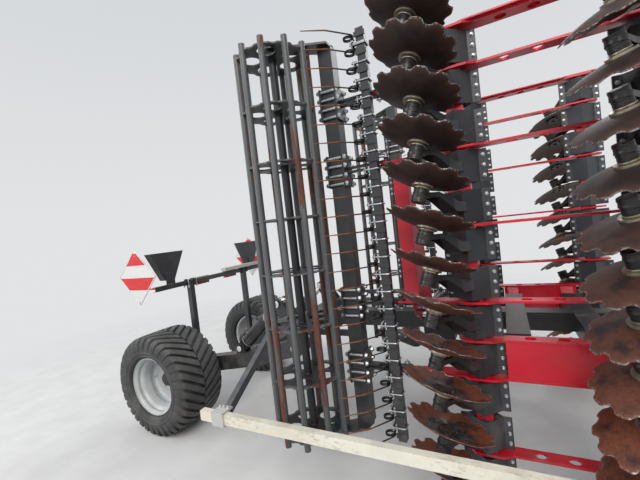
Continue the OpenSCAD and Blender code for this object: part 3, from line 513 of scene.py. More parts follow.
# %% Give each node its finish
NODE_FINISH = {
    "main_frame": black_paint, "hinge_lugs": black_paint, "drawbar": black_paint, "towing_eye": worn_steel,
    "stand_sleeve": black_paint, "stand_leg": zinc, "axle_carrier": black_paint, "axle_barrel": cylinder_paint,
    "axle_rod": rod_steel, "rim": rim_paint, "tyre": tyre_rubber, "light_bar": black_paint,
    "marker_boards": board_stripes, "lamps": lamp_red, "light_board": pale_paint,
    "gang_beam_front": red_paint, "gang_beam_rear": red_paint,
    "cheek_plates": red_paint, "wing_hinge": red_paint, "wing_tower": red_paint, "disc_arms_front": arm_paint,
    "disc_arms_rear": arm_paint, "rubber_rods": rubber, "discs_front": disc_steel, "discs_rear": disc_steel,
    "roller_beam": black_paint, "roller_arms": black_paint, "roller_cage": roller_steel, "tine_bar": black_paint,
    "tines": tine_steel, "guard_rail": rail_paint, "guard_struts": strut_paint, "fold_barrel": cylinder_paint,
    "fold_rod": rod_steel}
for node_name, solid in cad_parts.items():
    finish = NODE_FINISH[node_name.removesuffix("_right").removesuffix("_left")]
    for k in range(len(solid.data.materials)):
        solid.data.materials[k] = finish
print("finished solids:", len(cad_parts))

# %% [markdown]
# ## Discs
# A notched disc is a dish cut from a ball, with scallops round its rim. A boolean would leave long
# thin faces, so the dish is computed: rings from the middle to the rim, where the outermost rings
# follow a rim line that dips at each notch. One closed profile runs out on the hollow side and back
# on the round side, thinner at the edge, as the ground plate is.

# %% The disc as a surface
NOTCHES, NOTCH_R, NOTCH_DEPTH, FLAT_R, GROUND = 12, 0.041, 0.025, 0.070, 0.014


def ball(r):
    """The height of a ball's surface over its lowest point."""
    return DISH_R - np.sqrt(DISH_R ** 2 - r ** 2)


def rim_line(t):
    """The rim's radius: the disc's own, or where a notch circle cuts in from its centre."""
    centre = DISC_R - NOTCH_DEPTH + NOTCH_R
    off = (t * NOTCHES / (2 * np.pi) + 0.5) % 1.0 - 0.5
    off = off * 2 * np.pi / NOTCHES
    inside = np.clip(NOTCH_R ** 2 - (centre * np.sin(off)) ** 2, 0, None)
    cut = np.where(inside > 0, centre * np.cos(off) - np.sqrt(inside), DISC_R)
    return np.minimum(DISC_R - 0.001, cut)


def disc(steps=144):
    """A flat middle, then rings r(k, t) = flat + (rim(t) - flat) * part at the ball's height."""
    t = np.arange(steps) * 2 * np.pi / steps
    rim = rim_line(t)
    part = np.array([0, 0.16, 0.34, 0.52, 0.68, 0.82, 0.91, 0.965, 1.0])
    r = np.concatenate([np.full((1, steps), 0.030), FLAT_R + (rim - FLAT_R) * part[:, None]])
    height = ball(np.maximum(r, FLAT_R))
    near = np.clip(1 - (rim - r) / GROUND, 0, 1)
    hollow_side = height + DISC_T
    round_side = height + near * DISC_T * 0.55
    r2 = np.concatenate([r[::-1], r])
    z = np.concatenate([round_side[::-1], hollow_side])[:, :, None]
    ring = np.stack([r2 * np.cos(t), r2 * np.sin(t)], -1)
    points = np.concatenate([ring, z], -1)[::-1]
    side = np.concatenate([np.zeros_like(r), np.ones_like(r)])[::-1]
    gap = np.broadcast_to(rim, r2.shape) - r2
    faces = grid_faces(len(r2), steps, True, True)[:, ::-1]
    return (points.reshape(-1, 3), [faces]), gap[::-1].ravel(), side.ravel()


one_disc, disc_gap, disc_side = disc()
print("a disc has", len(one_disc[0]), "points and", len(one_disc[1][0]), "faces")

# %% [markdown]
# The hub turns on the arm's end: a flange bolted to the disc from behind, sealing rings between it
# and the arm, and five bolts with washers on the hollow side. Turned profiles give the rings, and
# the same hexagon template serves each bolt head.

# %% Bolts, hubs and rows of discs


def bolt_head(size, height, washer=0.002):
    """A hexagon with its top slightly pulled in, on a thin round washer."""
    r = size / np.sqrt(3)
    head = turned([(r, washer), (r, washer + height * 0.8), (r * 0.86, washer + height)], 6)
    return joined([turned([(r * 1.15, 0), (r * 1.15, washer)], 10), head])


def stud(size, thread, height):
    """A nut on a thread that stands out of it."""
    end = [(thread, height * 0.5), (thread, height * 1.6), (thread * 0.75, height * 1.72)]
    return joined([bolt_head(size, height), turned(end, 8)])


DISC_Z = HUB_HALF + 0.020
back_z = DISC_Z + ball(FLAT_R)
hub_back = turned([(0.028, 0.0423), (0.046, 0.0423), (0.047, 0.0475), (0.041, 0.049), (0.041, 0.052),
                   (0.064, 0.0535), (0.064, back_z - 0.0003), (0.028, back_z - 0.0003),
                   (0.028, 0.0423)], 40, closed=True)
top_z = back_z + DISC_T
hub_front = turned([(0.064, top_z + 0.0002), (0.064, top_z + 0.005), (0.060, top_z + 0.007), (0.040, top_z + 0.007),
                    (0.036, top_z + 0.010), (0.028, top_z + 0.010), (0.024, top_z + 0.006)], 40)
hub_bolts = copies(bolt_head(0.019, 0.0085), [turn("z", 72 * k) @ move(0.050, 0, top_z + 0.007) for k in range(5)])
seal = turned([(0.0433, 0), (0.0450, 0.001), (0.0450, 0.004), (0.0433, 0.005), (0.0415, 0.005), (0.0415, 0)],
              32, closed=True)
hub_rings = copies(seal, [move(0, 0, z) for z in (-0.034, -0.012, 0.010, 0.030)])
hub_set = joined([hub_front, hub_bolts, hub_rings])
for side_name, s in SIDES.items():
    body = f"wing_{side_name}"
    for row in ROWS:
        places = [on_wing(s) @ m @ AT_HUB for m in at_clamps(row)]
        n = len(places)
        # 1 on the lowest discs of the upright wing and 0 on the highest: rust below, and painted shade on the upper
        # discs.
        age = np.repeat(np.linspace(1.2, -0.6, n).clip(0, 1), len(one_disc[0]))
        all_discs = copies(one_disc, [m @ move(0, 0, DISC_Z) for m in places])
        dishes = add_piece(f"dishes_{row}_{side_name}", all_discs, body, "disc_steel", disc_steel, 50,
                           rim=np.tile(disc_gap, n), hollow=np.tile(disc_side, n), age=age)
        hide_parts(f"discs_{row}_{side_name}")
        add_piece(f"hubs_{row}_{side_name}", copies(hub_set, places), body, "clamp_grey", hub_steel)
        add_piece(f"hub_flanges_{row}_{side_name}", copies(hub_back, places), body, "zinc", flange_steel)

# %% [markdown]
# ## Tines
# A harrow tine is one wire: a short tang that lies along the bar's back, two turns of spring, and a
# long leg with a slight kink. The turns are a helix about V, r = coil radius, and the leg leaves the
# coil where the circle already points its way, so there is no bend at the coil. The two lengths of
# the leg come from two equations, so that the tip is where the solid tine has it.

# %% Spring tines
TIP_X, TIP_H, LEAN_1, LEAN_2 = -0.309, -0.316, 36.0, 54.0
SPRING_R, SPRING_X, SPRING_H, BOLT_V0 = 0.034, -0.083, -0.035, 0.058


def leg_way(lean):
    """The way along a leg that leans back from straight down by some degrees."""
    return np.array([-np.sin(np.radians(lean)), 0, -np.cos(np.radians(lean))])


def tine():
    """Helix (R cos a, pitch * turn, R sin a), a falling from 0 to where its tangent is the leg's way."""
    total = 2 + LEAN_1 / 360
    turns = np.linspace(0, total, 44)
    a = -turns * 2 * np.pi
    side = (total - turns) * WIRE_R * 2.15
    coil = [SPRING_X, 0, SPRING_H] + np.stack([SPRING_R * np.cos(a), side, SPRING_R * np.sin(a)], -1)
    bend = np.radians(np.linspace(0, 90, 6))
    corner = np.stack([0 * bend, 0.020 - 0.020 * np.sin(bend), 0.010 + 0.020 * np.cos(bend)], -1)
    tang = np.concatenate([[[0, 0.062, 0.030]], corner, [[0, 0, -0.004]]]) + coil[0]
    gap = np.array([TIP_X, TIP_H]) - coil[-1][[0, 2]]
    ways = np.stack([leg_way(LEAN_1)[[0, 2]], leg_way(LEAN_2)[[0, 2]]], 1)
    first, second = np.linalg.solve(ways, gap)
    leg = coil[-1] + leg_way(LEAN_1) * np.linspace(0.02, first - 0.012, 5)[:, None]
    knee = coil[-1] + leg_way(LEAN_1) * first + (leg_way(LEAN_2) - leg_way(LEAN_1)) * 0.003
    tip = coil[-1] + leg_way(LEAN_1) * first + leg_way(LEAN_2) * np.linspace(0.012, second, 5)[:, None]
    path = np.concatenate([coil, leg, knee[None], tip])
    radius = np.concatenate([np.full(len(path) - 5, WIRE_R), np.linspace(1, 0.62, 5) * WIRE_R])
    along = np.concatenate([np.zeros(len(tang) + len(coil)), np.linspace(0.1, 1.0, len(path) - len(coil))])
    return joined([tube(tang, WIRE_R, 8, (1, 0, 0)), tube(path, radius, 8)]), np.repeat(along, 8)


one_tine, tine_along = tine()
tine_places = [move(TINE_BAR_X, TINE_V0 + i * TINE_PITCH, TINE_BAR_H) for i in range(TINES)]
tine_places[-1] = tine_places[-1] @ np.diag([1.0, -1.0, 1.0, 1.0])
for side_name, s in SIDES.items():
    piece = add_piece(f"spring_tines_{side_name}", copies(one_tine, [on_wing(s) @ m for m in tine_places]),
                      f"wing_{side_name}", "tine_steel", tine_steel, 60, along=np.tile(tine_along, TINES))
    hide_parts(f"tines_{side_name}")
print("a tine has", len(one_tine[0]), "points")

# %% [markdown]
# A zinc U-bolt holds each tine. It goes round the bar's front, its legs lie on the bar's upper and
# lower faces, and its nuts draw a clamp plate with two ribs against the tang on the bar's back. All
# 24 sets of a wing are one mesh. The last set is mirrored, since the bar ends close above its tine.

# %% U-bolts and clamp plates of the tines
BOLT_R, REACH, BACK, BEND = 0.0058, 0.0362, -0.077, 0.012
tang_x = SPRING_X + SPRING_R
arc = np.radians(np.linspace(-90, 0, 4))[:, None]
low_half = np.concatenate([[[BACK, 0, -REACH], [0, 0, -REACH]],
                           [REACH - BEND, 0, BEND - REACH] + BEND * np.hstack([np.cos(arc), 0 * arc, np.sin(arc)])])
path = np.concatenate([low_half, low_half[::-1] * [1, 1, -1]])
plate = block((0.006, 0.040, 0.098), (tang_x - WIRE_R - 0.0034, 0, 0), 0.001)
ribs = [block((0.010, 0.005, 0.056), (tang_x - WIRE_R - 0.0112, v, 0), 0.001) for v in (-0.0175, 0.0175)]
seat = block((0.0134, 0.040, 0.058), (-TINE_BAR / 2 - 0.0070, 0, 0), 0.001)
nut_at = [move(tang_x - WIRE_R - 0.0066, 0, h) @ turn("y", -90) for h in (-REACH, REACH)]
tine_set = joined([tube(path, BOLT_R, 8), plate, seat] + ribs + [copies(bolt_head(0.017, 0.009), nut_at)])
bar_places = [m @ move(0, BOLT_V0, 0) for m in tine_places]
on_both(("tine_straps", tine_set, wing(bar_places), "wing", "zinc", zinc))
print("a tine's U-bolt, plates and nuts:", len(tine_set[0]), "points")

# %% [markdown]
# ## Bolts of the arm clamps and of the roller beam
# An arm clamp is two bent plates with three bolts through each flange. The roller beam hangs between
# plates that long threaded rods pull together at each pivot, four on each face of the beam. Both
# use the same small hexagon, since they show hundreds of times.

# %% Clamp bolts and beam rods
BOLT_V, BOLT_X = (-0.065, 0.0, 0.065), 0.134
flange_bolts = [move(x, v, CLAMP_T) for x in (-BOLT_X, BOLT_X) for v in BOLT_V]
flange_nuts = [move(x, v, -CLAMP_T) @ turn("x", 180) for x in (-BOLT_X, BOLT_X) for v in BOLT_V]
clamp_set = joined([copies(bolt_head(0.019, 0.010), flange_bolts), copies(stud(0.019, 0.007, 0.011), flange_nuts)])
ROD_V, ROD_STEPS = (-0.022, 0.478, 1.478, 1.978), (-0.098, -0.036, 0.036, 0.098)
ROD_H, ROD_HALF, PLATE_X = 0.067, 0.091, 0.069
rod = turned([(0.0104, -ROD_HALF), (0.0110, -ROD_HALF + 0.002), (0.0110, ROD_HALF - 0.002), (0.0104, ROD_HALF)], 10)
rod_nut = bolt_head(0.030, 0.016)
rod_set = joined([rod, copies(rod_nut, [move(0, 0, PLATE_X), move(0, 0, -PLATE_X) @ turn("x", 180)])])
rod_places = [move(BEAM_X, v + step, -GANG_DROP + h) @ turn("y", 90)
              for v in ROD_V for step in ROD_STEPS for h in (-ROD_H, ROD_H)]
clamps = [m for row in ROWS for m in at_clamps(row)]
on_both(("clamp_bolts", clamp_set, wing(clamps), "wing", "zinc", zinc),
        ("beam_rods", rod_set, wing(rod_places), "wing", "zinc", zinc))
print("clamp bolts:", len(clamps) * 6, "a wing")

# %% [markdown]
# ## Tyres
# The flotation tyre is one closed surface. Its columns lean with the lugs, so that each lug's flank
# is a line of the grid, and a lug is a stretch of columns that is raised. Rows run over the tread
# from bead to bead: the raise fades down the shoulder into the ribs that show on the sidewall.

# %% The tyre as a leaning grid
LUGS, LUG_SLANT, LUG_AT = 34, 34.0, 0.1315
TREAD_R, TOP_R, RIDGES = 0.505, 0.533, (0.377, 0.337)


def tyre():
    """Angle = (column - tan(slant) * (|y| - middle) / R) and radius = carcass + raise * lug(column)."""
    steps = np.array([0.0, 0.13, 0.19, 0.31, 0.37, 0.5, 0.63, 0.69, 0.81, 0.87])
    column = (np.arange(LUGS)[:, None] + steps).ravel()
    half = np.array([(0.003, TREAD_R, 0), (0.006, TREAD_R, 1), (0.060, TREAD_R, 1), (0.120, TREAD_R, 1),
                     (0.180, 0.503, 1), (0.225, 0.500, 1), (0.243, 0.494, 0.95), (0.257, 0.472, 0.78),
                     (0.265, 0.445, 0.58), (0.270, 0.418, 0.44), (0.273, 0.398, 0.24), (0.2735, 0.384, 0),
                     (0.2785, 0.380, 0), (0.2785, 0.374, 0), (0.2735, 0.370, 0),
                     (0.271, 0.356, 0), (0.264, 0.344, 0), (0.268, 0.340, 0), (0.267, 0.334, 0),
                     (0.257, 0.329, 0), (0.254, 0.322, 0), (0.243, 0.316, 0), (0.226, 0.308, 0),
                     (0.206, 0.2962, 0), (0.197, 0.2955, 0)])
    y, r, lift = np.concatenate([half[::-1] * [-1, 1, 1], half])[:, :, None].swapaxes(0, 1)
    at = np.where(y > 0, column - 0.5, column)
    off = np.abs((at + 0.5) % 1.0 - 0.5)
    lug = np.clip((0.375 - off) / 0.06, 0, 1) * lift
    lean = np.tan(np.radians(LUG_SLANT)) * (np.minimum(np.abs(y), 0.265) - LUG_AT) / 0.52
    angle = column * 2 * np.pi / LUGS - lean
    out = np.clip((np.abs(y) - 0.24) / 0.03, 0, 1)
    radius = r + lug * (TOP_R - TREAD_R) * (1 - 0.75 * out)
    side = np.sign(y) * (np.abs(y) + lug * 0.016 * out * (np.abs(y) < 0.274))
    points = np.stack([radius * np.sin(angle), side + 0 * angle, radius * np.cos(angle)], -1)
    ridge = (np.abs(r - RIDGES[0]) < 0.004) | (np.abs(r - RIDGES[1]) < 0.004)
    # Where the tyre is painted paler: lug tops, sidewall and ridges, partly rubbed rubber and partly painted
    # highlight.
    top = lug * (np.abs(y) < 0.25) + 0.35 * (np.abs(y) >= 0.25) + 0.9 * ridge
    faces = grid_faces(len(points), points.shape[1], True, True)
    return (points.reshape(-1, 3), [faces]), np.broadcast_to(top, radius.shape).ravel()


one_tyre, tyre_top = tyre()
for side_name, s in SIDES.items():
    place = move(WHEEL_X, s * WHEEL_Y, WHEEL_Z) @ np.diag([1.0, s, 1.0, 1.0])
    piece = add_piece(f"lugged_tyre_{side_name}", copies(one_tyre, [place]), f"wheel_{side_name}", "tyre",
                      tyre_rubber, 40, top=tyre_top)
    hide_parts(f"tyre_{side_name}")
print("a tyre has", len(one_tyre[0]), "points and", LUGS * 2, "lugs")

# %% [markdown]
# The wheel is bolted to a black hub. A turned shell covers the hub's cap, eight nuts ring it, and a
# valve stands in the dish. Three turned rings give the rim what the plain bowl lacks: the narrower
# well in its middle, the hump that the tyre's bead sits behind, and the rolled lip.

# %% Hubs, rim rings, wheel nuts and valve
well = turned([(0.2530, 0.070), (0.2560, 0.062), (0.2700, 0.046), (0.2786, 0.040), (0.2786, 0.172),
               (0.2700, 0.166), (0.2560, 0.146), (0.2530, 0.138)], 96, closed=True)
hump = turned([(0.2745, 0.193), (0.2786, 0.188), (0.2786, 0.206), (0.2745, 0.201)], 96, closed=True)
a = np.arange(8) * np.pi / 4
lip = turned(np.stack([0.3000 + 0.0042 * np.cos(a), 0.2335 + 0.0042 * np.sin(a)], -1).tolist(), 96, closed=True)
cover = turned([(0.100, 0.0064), (0.100, 0.0125), (0.0985, 0.0140), (0.0708, 0.0140), (0.0708, 0.0505),
                (0.0690, 0.0545), (0.0580, 0.0655), (0.0540, 0.0672), (0.020, 0.0672)], 40)
NUTS, NUT_RING = 8, 0.121
nut_at = [turn("z", 360 / NUTS * k) @ move(NUT_RING, 0, 0.0063) for k in range(NUTS)]
nuts = copies(stud(0.027, 0.009, 0.016), nut_at)
valve = joined([tube([(-0.235, 0, -0.017), (-0.228, 0, 0.010), (-0.218, 0, 0.040)], 0.0045, 8),
                tube([(-0.2247, 0, 0.020), (-0.2167, 0, 0.044)], 0.0065, 8)])


def at_wheel(s):
    """A wheel's middle, Z along its axle and away from the machine."""
    return [move(WHEEL_X, s * WHEEL_Y, WHEEL_Z) @ turn("x", -90 * s)]


on_both(("hub_cover", cover, at_wheel, "wheel", "frame_black", cylinder_paint),
        ("rim_rings", joined([well, hump, lip]), at_wheel, "wheel", "rim_grey", rim_paint),
        ("wheel_nuts", joined([nuts, valve]), at_wheel, "wheel", "zinc", zinc))
print("wheel nuts:", NUTS)

# %% [markdown]
# ## Pins, caps and cylinder fittings
# Each pin ends in a pale round keeper plate with one bolt. The cylinders get what a bare tube lacks:
# a gland nut at the rod's end, and a welded port with a hexagon plug at each end of the barrel.

# %% Pin keepers
LIFT_FROM, LIFT_TO, PIVOT = (-2.400, 0.470, 0.800), (-1.835, 0.470, 1.290), (-1.680, 0.470, 0.850)
PINS = {"axle": (LIFT_FROM, 0.0743, 0.030, "axle"), "chassis": (LIFT_TO, 0.0966, 0.036, "chassis"),
        "pivot": (PIVOT, 0.0946, 0.040, "chassis")}


def keeper(radius):
    """A round plate 6 mm thick with a bolt in its middle."""
    return joined([turned([(radius, 0.0), (radius, 0.004), (radius - 0.002, 0.006)], 28),
                   copies(bolt_head(0.019, 0.009), [move(0, 0, 0.006)])])


for name, ((x, y, z), reach, radius, body) in PINS.items():
    ends = [move(x, s * y + k * reach, z) @ turn("x", -90 * k) for s in (-1, 1) for k in (-1, 1)]
    add_piece(f"pin_keepers_{name}", copies(keeper(radius), ends), body, "zinc", keeper_white)
hinge_ends = [move(x + k * 0.0853, s * HINGE_Y, HINGE_Z) @ turn("y", 90 * k)
              for x in (0.240, 0.710) for s in (-1, 1) for k in (-1, 1)]
add_piece("pin_keepers_hinge", copies(keeper(0.031), hinge_ends), "chassis", "zinc", zinc)
print("pin keepers:", 4 * len(PINS) + len(hinge_ends))

# %% Cylinder fittings
FOLD_X, FOLD_SHIFT, FOLD_V, FOLD_H = -0.330, 0.065, 0.300, 0.260
BASE_Y, BASE_Z = -0.350, 1.182
lift_way = np.array(LIFT_TO) - LIFT_FROM
fold_way = np.array([HINGE_Y - FOLD_H - BASE_Y, HINGE_Z + FOLD_V - BASE_Z])
lift_turn, fold_turn = np.degrees([np.arctan2(lift_way[2], lift_way[0]), np.arctan2(fold_way[1], fold_way[0])])
BARREL = {"axle": (0.136, 0.480, 0.064), "fold": (0.100, np.hypot(*fold_way) - 0.085, 0.050)}


def fittings(bore, length, rod):
    """Along X from the base eye: two ports on top of the barrel and a gland with a wiper at its end."""
    r, base, along_x = bore / 2, bore * 0.70, turn("y", 90)
    gland = turned([(rod / 2 + 0.001, 0), (r * 0.86, 0), (r * 0.86, 0.010), (r * 0.72, 0.016),
                    (rod / 2 + 0.006, 0.020), (rod / 2 + 0.001, 0.020)], 32, closed=True)
    ring = turned([(r + 0.0004, 0), (r + 0.003, 0.001), (r + 0.003, 0.005), (r + 0.0004, 0.006)], 32, closed=True)
    port = joined([block((0.040, 0.034, 0.022), (0, 0, r + 0.009)),
                   copies(bolt_head(0.022, 0.012), [move(0, 0, r + 0.020)])])
    return (copies(port, [move(base + 0.035, 0, 0), move(length - 0.085, 0, 0)]),
            joined([copies(gland, [move(length + 0.0002, 0, 0) @ along_x]),
                    copies(ring, [move(base + 0.004, 0, 0) @ along_x])]))


def at_lift(s):
    """The base eye of a lift cylinder, X along its rod."""
    return [np.diag([1.0, s, 1.0, 1.0]) @ move(*LIFT_FROM) @ turn("y", -lift_turn)]


def at_fold(s):
    """The base eye of a fold cylinder: it starts beyond the middle, so that the two pass side by side."""
    base = move(FOLD_X + s * FOLD_SHIFT, BASE_Y, BASE_Z)
    return [np.diag([1.0, s, 1.0, 1.0]) @ base @ turn("x", fold_turn) @ turn("z", 90)]


rows = []
for kind, places in (("axle", at_lift), ("fold", at_fold)):
    ports, glands = fittings(*BARREL[kind])
    rows += [(f"{kind}_ports", ports, places, f"{kind}_barrel", "cylinder_black", cylinder_paint),
             (f"{kind}_gland", glands, places, f"{kind}_barrel", "zinc", zinc)]
on_both(*rows)
print("cylinder turns:", round(lift_turn, 1), round(fold_turn, 1))

# %% [markdown]
# ## Light bar, boards and rail
# The bar is held on its posts by U-bolts, and a rear lamp has a red lens with moulded ribs. The
# boards are thin plates with a folded pale edge and rivets. On each clamp of the guard rail stand
# six studs, three above the rail and three below it.

# %% Bar bolts, lamp lenses, board edges
BAR_X, BAR_Z, BAR_HALF, POST_Y, CLIP, HOOP, LAMP_Y = -3.100, 1.535, 0.025, 0.470, 0.044, 0.039, 0.250
arc = np.radians(np.linspace(180, 0, 9))
crown = np.stack([HOOP * np.cos(arc), 0 * arc, 0.008 + 0.036 * np.sin(arc)], -1)
hoop = np.concatenate([[(-HOOP, 0, -0.062), (-HOOP, 0, -0.02)], crown, [(HOOP, 0, -0.02), (HOOP, 0, -0.062)]])
hoop_nuts = copies(bolt_head(0.017, 0.009), [move(x, 0, -0.037) @ turn("x", 180) for x in (-HOOP, HOOP)])
hoop_places = [move(BAR_X, -POST_Y + k * (CLIP + 0.013), BAR_Z) for k in (-1, 1)]
add_piece("bar_bolts", copies(joined([tube(hoop, 0.0055, 8), hoop_nuts]), hoop_places), "axle", "zinc", zinc)

lens = joined([block((0.006, 0.186, 0.076), (-0.0035, 0, 0), 0.002)] +
              [block((0.004, 0.0035, 0.070), (-0.0083, y, 0), 0.001) for y in np.linspace(-0.082, 0.082, 13)])
lens_places = [move(BAR_X - BAR_HALF - 0.046, s * LAMP_Y, BAR_Z - 0.015) for s in (-1, 1)]
add_piece("lamp_lenses", copies(lens, lens_places), "axle", "lamp", lamp_red)

BOARD_X, BOARD_Y, BOARD_Z, BOARD = -3.343, 0.958, 1.679, 0.423
strip = block((BOARD + 0.004, 0.0075, 0.012), (0, 0, BOARD / 2), 0.001)
quarters = [turn("y", 45 + 90 * k) for k in range(4)]
rivets = copies(turned([(0.006, 0), (0.005, 0.002), (0.002, 0.003)], 10),
                [m @ move(0.165, 0.0022, 0.165) @ turn("x", -90) for m in quarters])
board_places = [np.diag([1.0, s, 1.0, 1.0]) @ move(BOARD_X, BOARD_Y + 0.002, BOARD_Z) for s in (-1, 1)]
add_piece("board_edges", copies(joined([copies(strip, quarters), rivets]), board_places), "axle", "zinc", keeper_white)
print("bar bolts, lenses and board edges made")

# %% Rail clamps
RAIL_V, RAIL_H, RAIL_HALF_V, RAIL_HALF_H = -0.220, -0.780, 0.0375, 0.025
STRUTS = (-1.720, 1.155)
ends = [move(x, k * (RAIL_HALF_V + 0.0142), RAIL_HALF_H + 0.022) @ turn("x", -90 * k)
        for x in (-0.040, 0.0, 0.040) for k in (-1, 1)]
rail_set = copies(stud(0.019, 0.0065, 0.010), ends)
on_both(("rail_clamps", rail_set, wing([move(x, RAIL_V, RAIL_H) for x in STRUTS]), "wing", "zinc", zinc))
print("rail clamps:", 2 * len(STRUTS))

# %% [markdown]
# ## Towing eye, frame and beam ends
# The towing eye is bolted to the drawbar's plate. Open tube ends are closed with black caps, and
# the foot of each star on the roller's shaft has a weld bead, which is a ring with a rough round.

# %% Eye bolts, end caps and beads
EYE_X, EYE_Z = 3.648, 0.560
eye_bolts = [move(EYE_X - 0.140, y, EYE_Z + z) @ turn("y", 90) for y in (-0.058, 0.058) for z in (-0.055, 0.055)]
add_piece("eye_bolts", copies(stud(0.030, 0.010, 0.015), eye_bolts), "chassis", "zinc", zinc)
STARS, STAR_T, SHAFT = 8, 0.010, 0.0302
angle = np.arange(48) * 2 * np.pi / 48
wave = 0.0042 + 0.0009 * np.sin(angle * 15)
ring = np.arange(6)[:, None] * 2 * np.pi / 6
across = SHAFT + wave * np.cos(ring)
bead_points = np.stack([across * np.cos(angle), across * np.sin(angle), wave * np.sin(ring)], -1)
bead = (bead_points.reshape(-1, 3), [grid_faces(6, 48, True, True)])
star_v = [ROLLER_V0 + STAR_T / 2 + 0.040 + k * (ROLLER_LEN - STAR_T - 0.080) / (STARS - 1) for k in range(STARS)]
bead_places = [move(ROLLER_X, v + k * 0.007, ROLLER_H) @ turn("x", 90) for v in star_v for k in (-1, 1)]
cap = block((TUBE - 0.018, 0.006, TUBE - 0.018), (0, 0, 0))
tube_ends = [move(x, CLAMP_V0 + PITCH * (ROW_LEN - 0.5) - 0.004, -GANG_DROP) for x in (0, GANG_GAP)]
on_both(("star_beads", bead, wing(bead_places), "roller", "roller_steel", roller_steel),
        ("tube_caps", cap, wing(tube_ends), "wing", "rubber", rubber))
print("weld beads:", 2 * len(bead_places))

# %% [markdown]
# ## Pins of the wing
# The roller's arms turn on pins in the cheek plates' tails, and the fold cylinder's pins sit in the
# tower and in the frame. All end in keeper plates too. The grease nipple on each is a short cone.

# %% Keepers on the wing's pins
ARM_PIN_X, ARM_PIN_H, ARM_PIN_END = -0.490, -0.110, 0.0418
TOWER_END, BASE_END = 0.0634, 0.0553
nipple = turned([(0.0045, 0.015), (0.0045, 0.020), (0.002, 0.024), (0.003, 0.027), (0.0015, 0.029)], 8)
small_keeper = joined([keeper(0.024), nipple])
arm_ends = [move(ARM_PIN_X, v + k * ARM_PIN_END, ARM_PIN_H) @ turn("x", -90 * k) for v in ROD_V for k in (-1, 1)]


def wing_ends(s):
    """Both ends of each roller arm's pin and of the pin in the tower."""
    tower_ends = [move(FOLD_X + s * FOLD_SHIFT + k * TOWER_END, FOLD_V, FOLD_H) @ turn("y", 90 * k) for k in (-1, 1)]
    return wing(arm_ends + tower_ends)(s)


on_both(("arm_keepers", small_keeper, wing_ends, "wing", "zinc", zinc))
base_ends = [move(FOLD_X + s * FOLD_SHIFT + k * BASE_END, s * BASE_Y, BASE_Z) @ turn("y", 90 * k)
             for s in (-1, 1) for k in (-1, 1)]
add_piece("base_keepers", copies(small_keeper, base_ends), "chassis", "zinc", zinc)
print("keepers:", 2 * (len(arm_ends) + 2) + len(base_ends))

# %% [markdown]
# ## Weld beads and roller bolts
# Where the cheek plates sit on the square gang tubes a fillet weld runs round all four sides. One
# bead is a thin tube along a square path with its radius waved, the way that weld ripples look. The
# roller's shaft ends carry a bearing housing with four bolts on each end plate.

# %% Weld beads on the gang tubes
CHEEK_STEPS, CHEEK_T = (0, 2, 3, 4, 6, 8, 10, 11), 0.015
half = TUBE / 2 + 0.0005
corners = np.array([(-half, -half), (half, -half), (half, half), (-half, half)])
t = np.linspace(0, 4, 97)[:-1]
k = t.astype(int)
square = corners[k] + (corners[(k + 1) % 4] - corners[k]) * (t - k)[:, None]
ripple = 0.0036 + 0.0007 * np.sin(t * 2 * np.pi * 9)
a = np.arange(5) * 2 * np.pi / 5
out = square / np.abs(square).max(1)[:, None]
across, along = ripple[:, None] * np.cos(a), ripple[:, None] * np.sin(a)
bead_ring = np.stack([square[:, :1] + out[:, :1] * across, along, square[:, 1:] + out[:, 1:] * across], -1)
tube_bead = (bead_ring.reshape(-1, 3), [grid_faces(96, 5, True, True)])
places = [move(x, CLAMP_V0 + PITCH * (step + 0.5) + k * (CHEEK_T / 2 + 0.001), -GANG_DROP)
          for x in (0, GANG_GAP) for step in CHEEK_STEPS for k in (-1, 1)]
on_both(("tube_welds", tube_bead, wing(places), "wing", "wing_red", red_paint))
print("welds on a wing:", len(places), "of", len(tube_bead[0]), "points")

# %% Roller bearings
END_GAP, END_T = 0.018, 0.016
reach = END_GAP + END_T + 0.0002
flange = turned([(0.062, 0), (0.062, 0.003), (0.050, 0.0045), (0.0265, 0.0045), (0.0265, 0)], 36, closed=True)
flange_bolts = copies(bolt_head(0.019, 0.004), [turn("z", 45 + 90 * j) @ move(0.0545, 0, 0.0035) for j in range(4)])
places = [move(ROLLER_X, ROLLER_V0 - reach, ROLLER_H) @ turn("x", 90),
          move(ROLLER_X, ROLLER_V0 + ROLLER_LEN + reach, ROLLER_H) @ turn("x", -90)]
bearing = joined([flange, flange_bolts])
on_both(("roller_bearings", bearing, wing(places), "wing", "frame_black", cylinder_paint))
print("roller bearings:", 2 * len(places))

# %% [markdown]
# ## Camera, floor and light
# The camera stands where a camera matched to the pitch of the discs and tines stood: low at the
# machine's right side, turned towards the rear, with a short lens that leans a little. A wide soft
# sky lights everything. Three large soft lamps model the round parts: a key from behind the camera,
# a weaker one from the rear and one from the far side.

# %% Camera from the match
PICTURE, SENSOR, F_PIXELS, EYE = 640, 36.0, 347.4, (0.215, -3.341, 1.985)
YAW, PITCH_UP, ROLL = np.radians([28.01, -1.847, 6.455])
ahead = np.array([-np.sin(YAW) * np.cos(PITCH_UP), np.cos(YAW) * np.cos(PITCH_UP), np.sin(PITCH_UP)])
level = np.array([np.cos(YAW), np.sin(YAW), 0.0])
above = np.cross(level, ahead)
right_way = np.cos(ROLL) * level - np.sin(ROLL) * above
up_way = np.cos(ROLL) * above + np.sin(ROLL) * level
camera = bpy.data.objects.new("camera", bpy.data.cameras.new("camera"))
camera.data.sensor_width, camera.data.lens = SENSOR, F_PIXELS / PICTURE * SENSOR
camera.data.clip_end = 200
pose = np.eye(4)
pose[:3, 0], pose[:3, 1], pose[:3, 2], pose[:3, 3] = right_way, up_way, -ahead, EYE
camera.matrix_world = Matrix(pose.tolist())
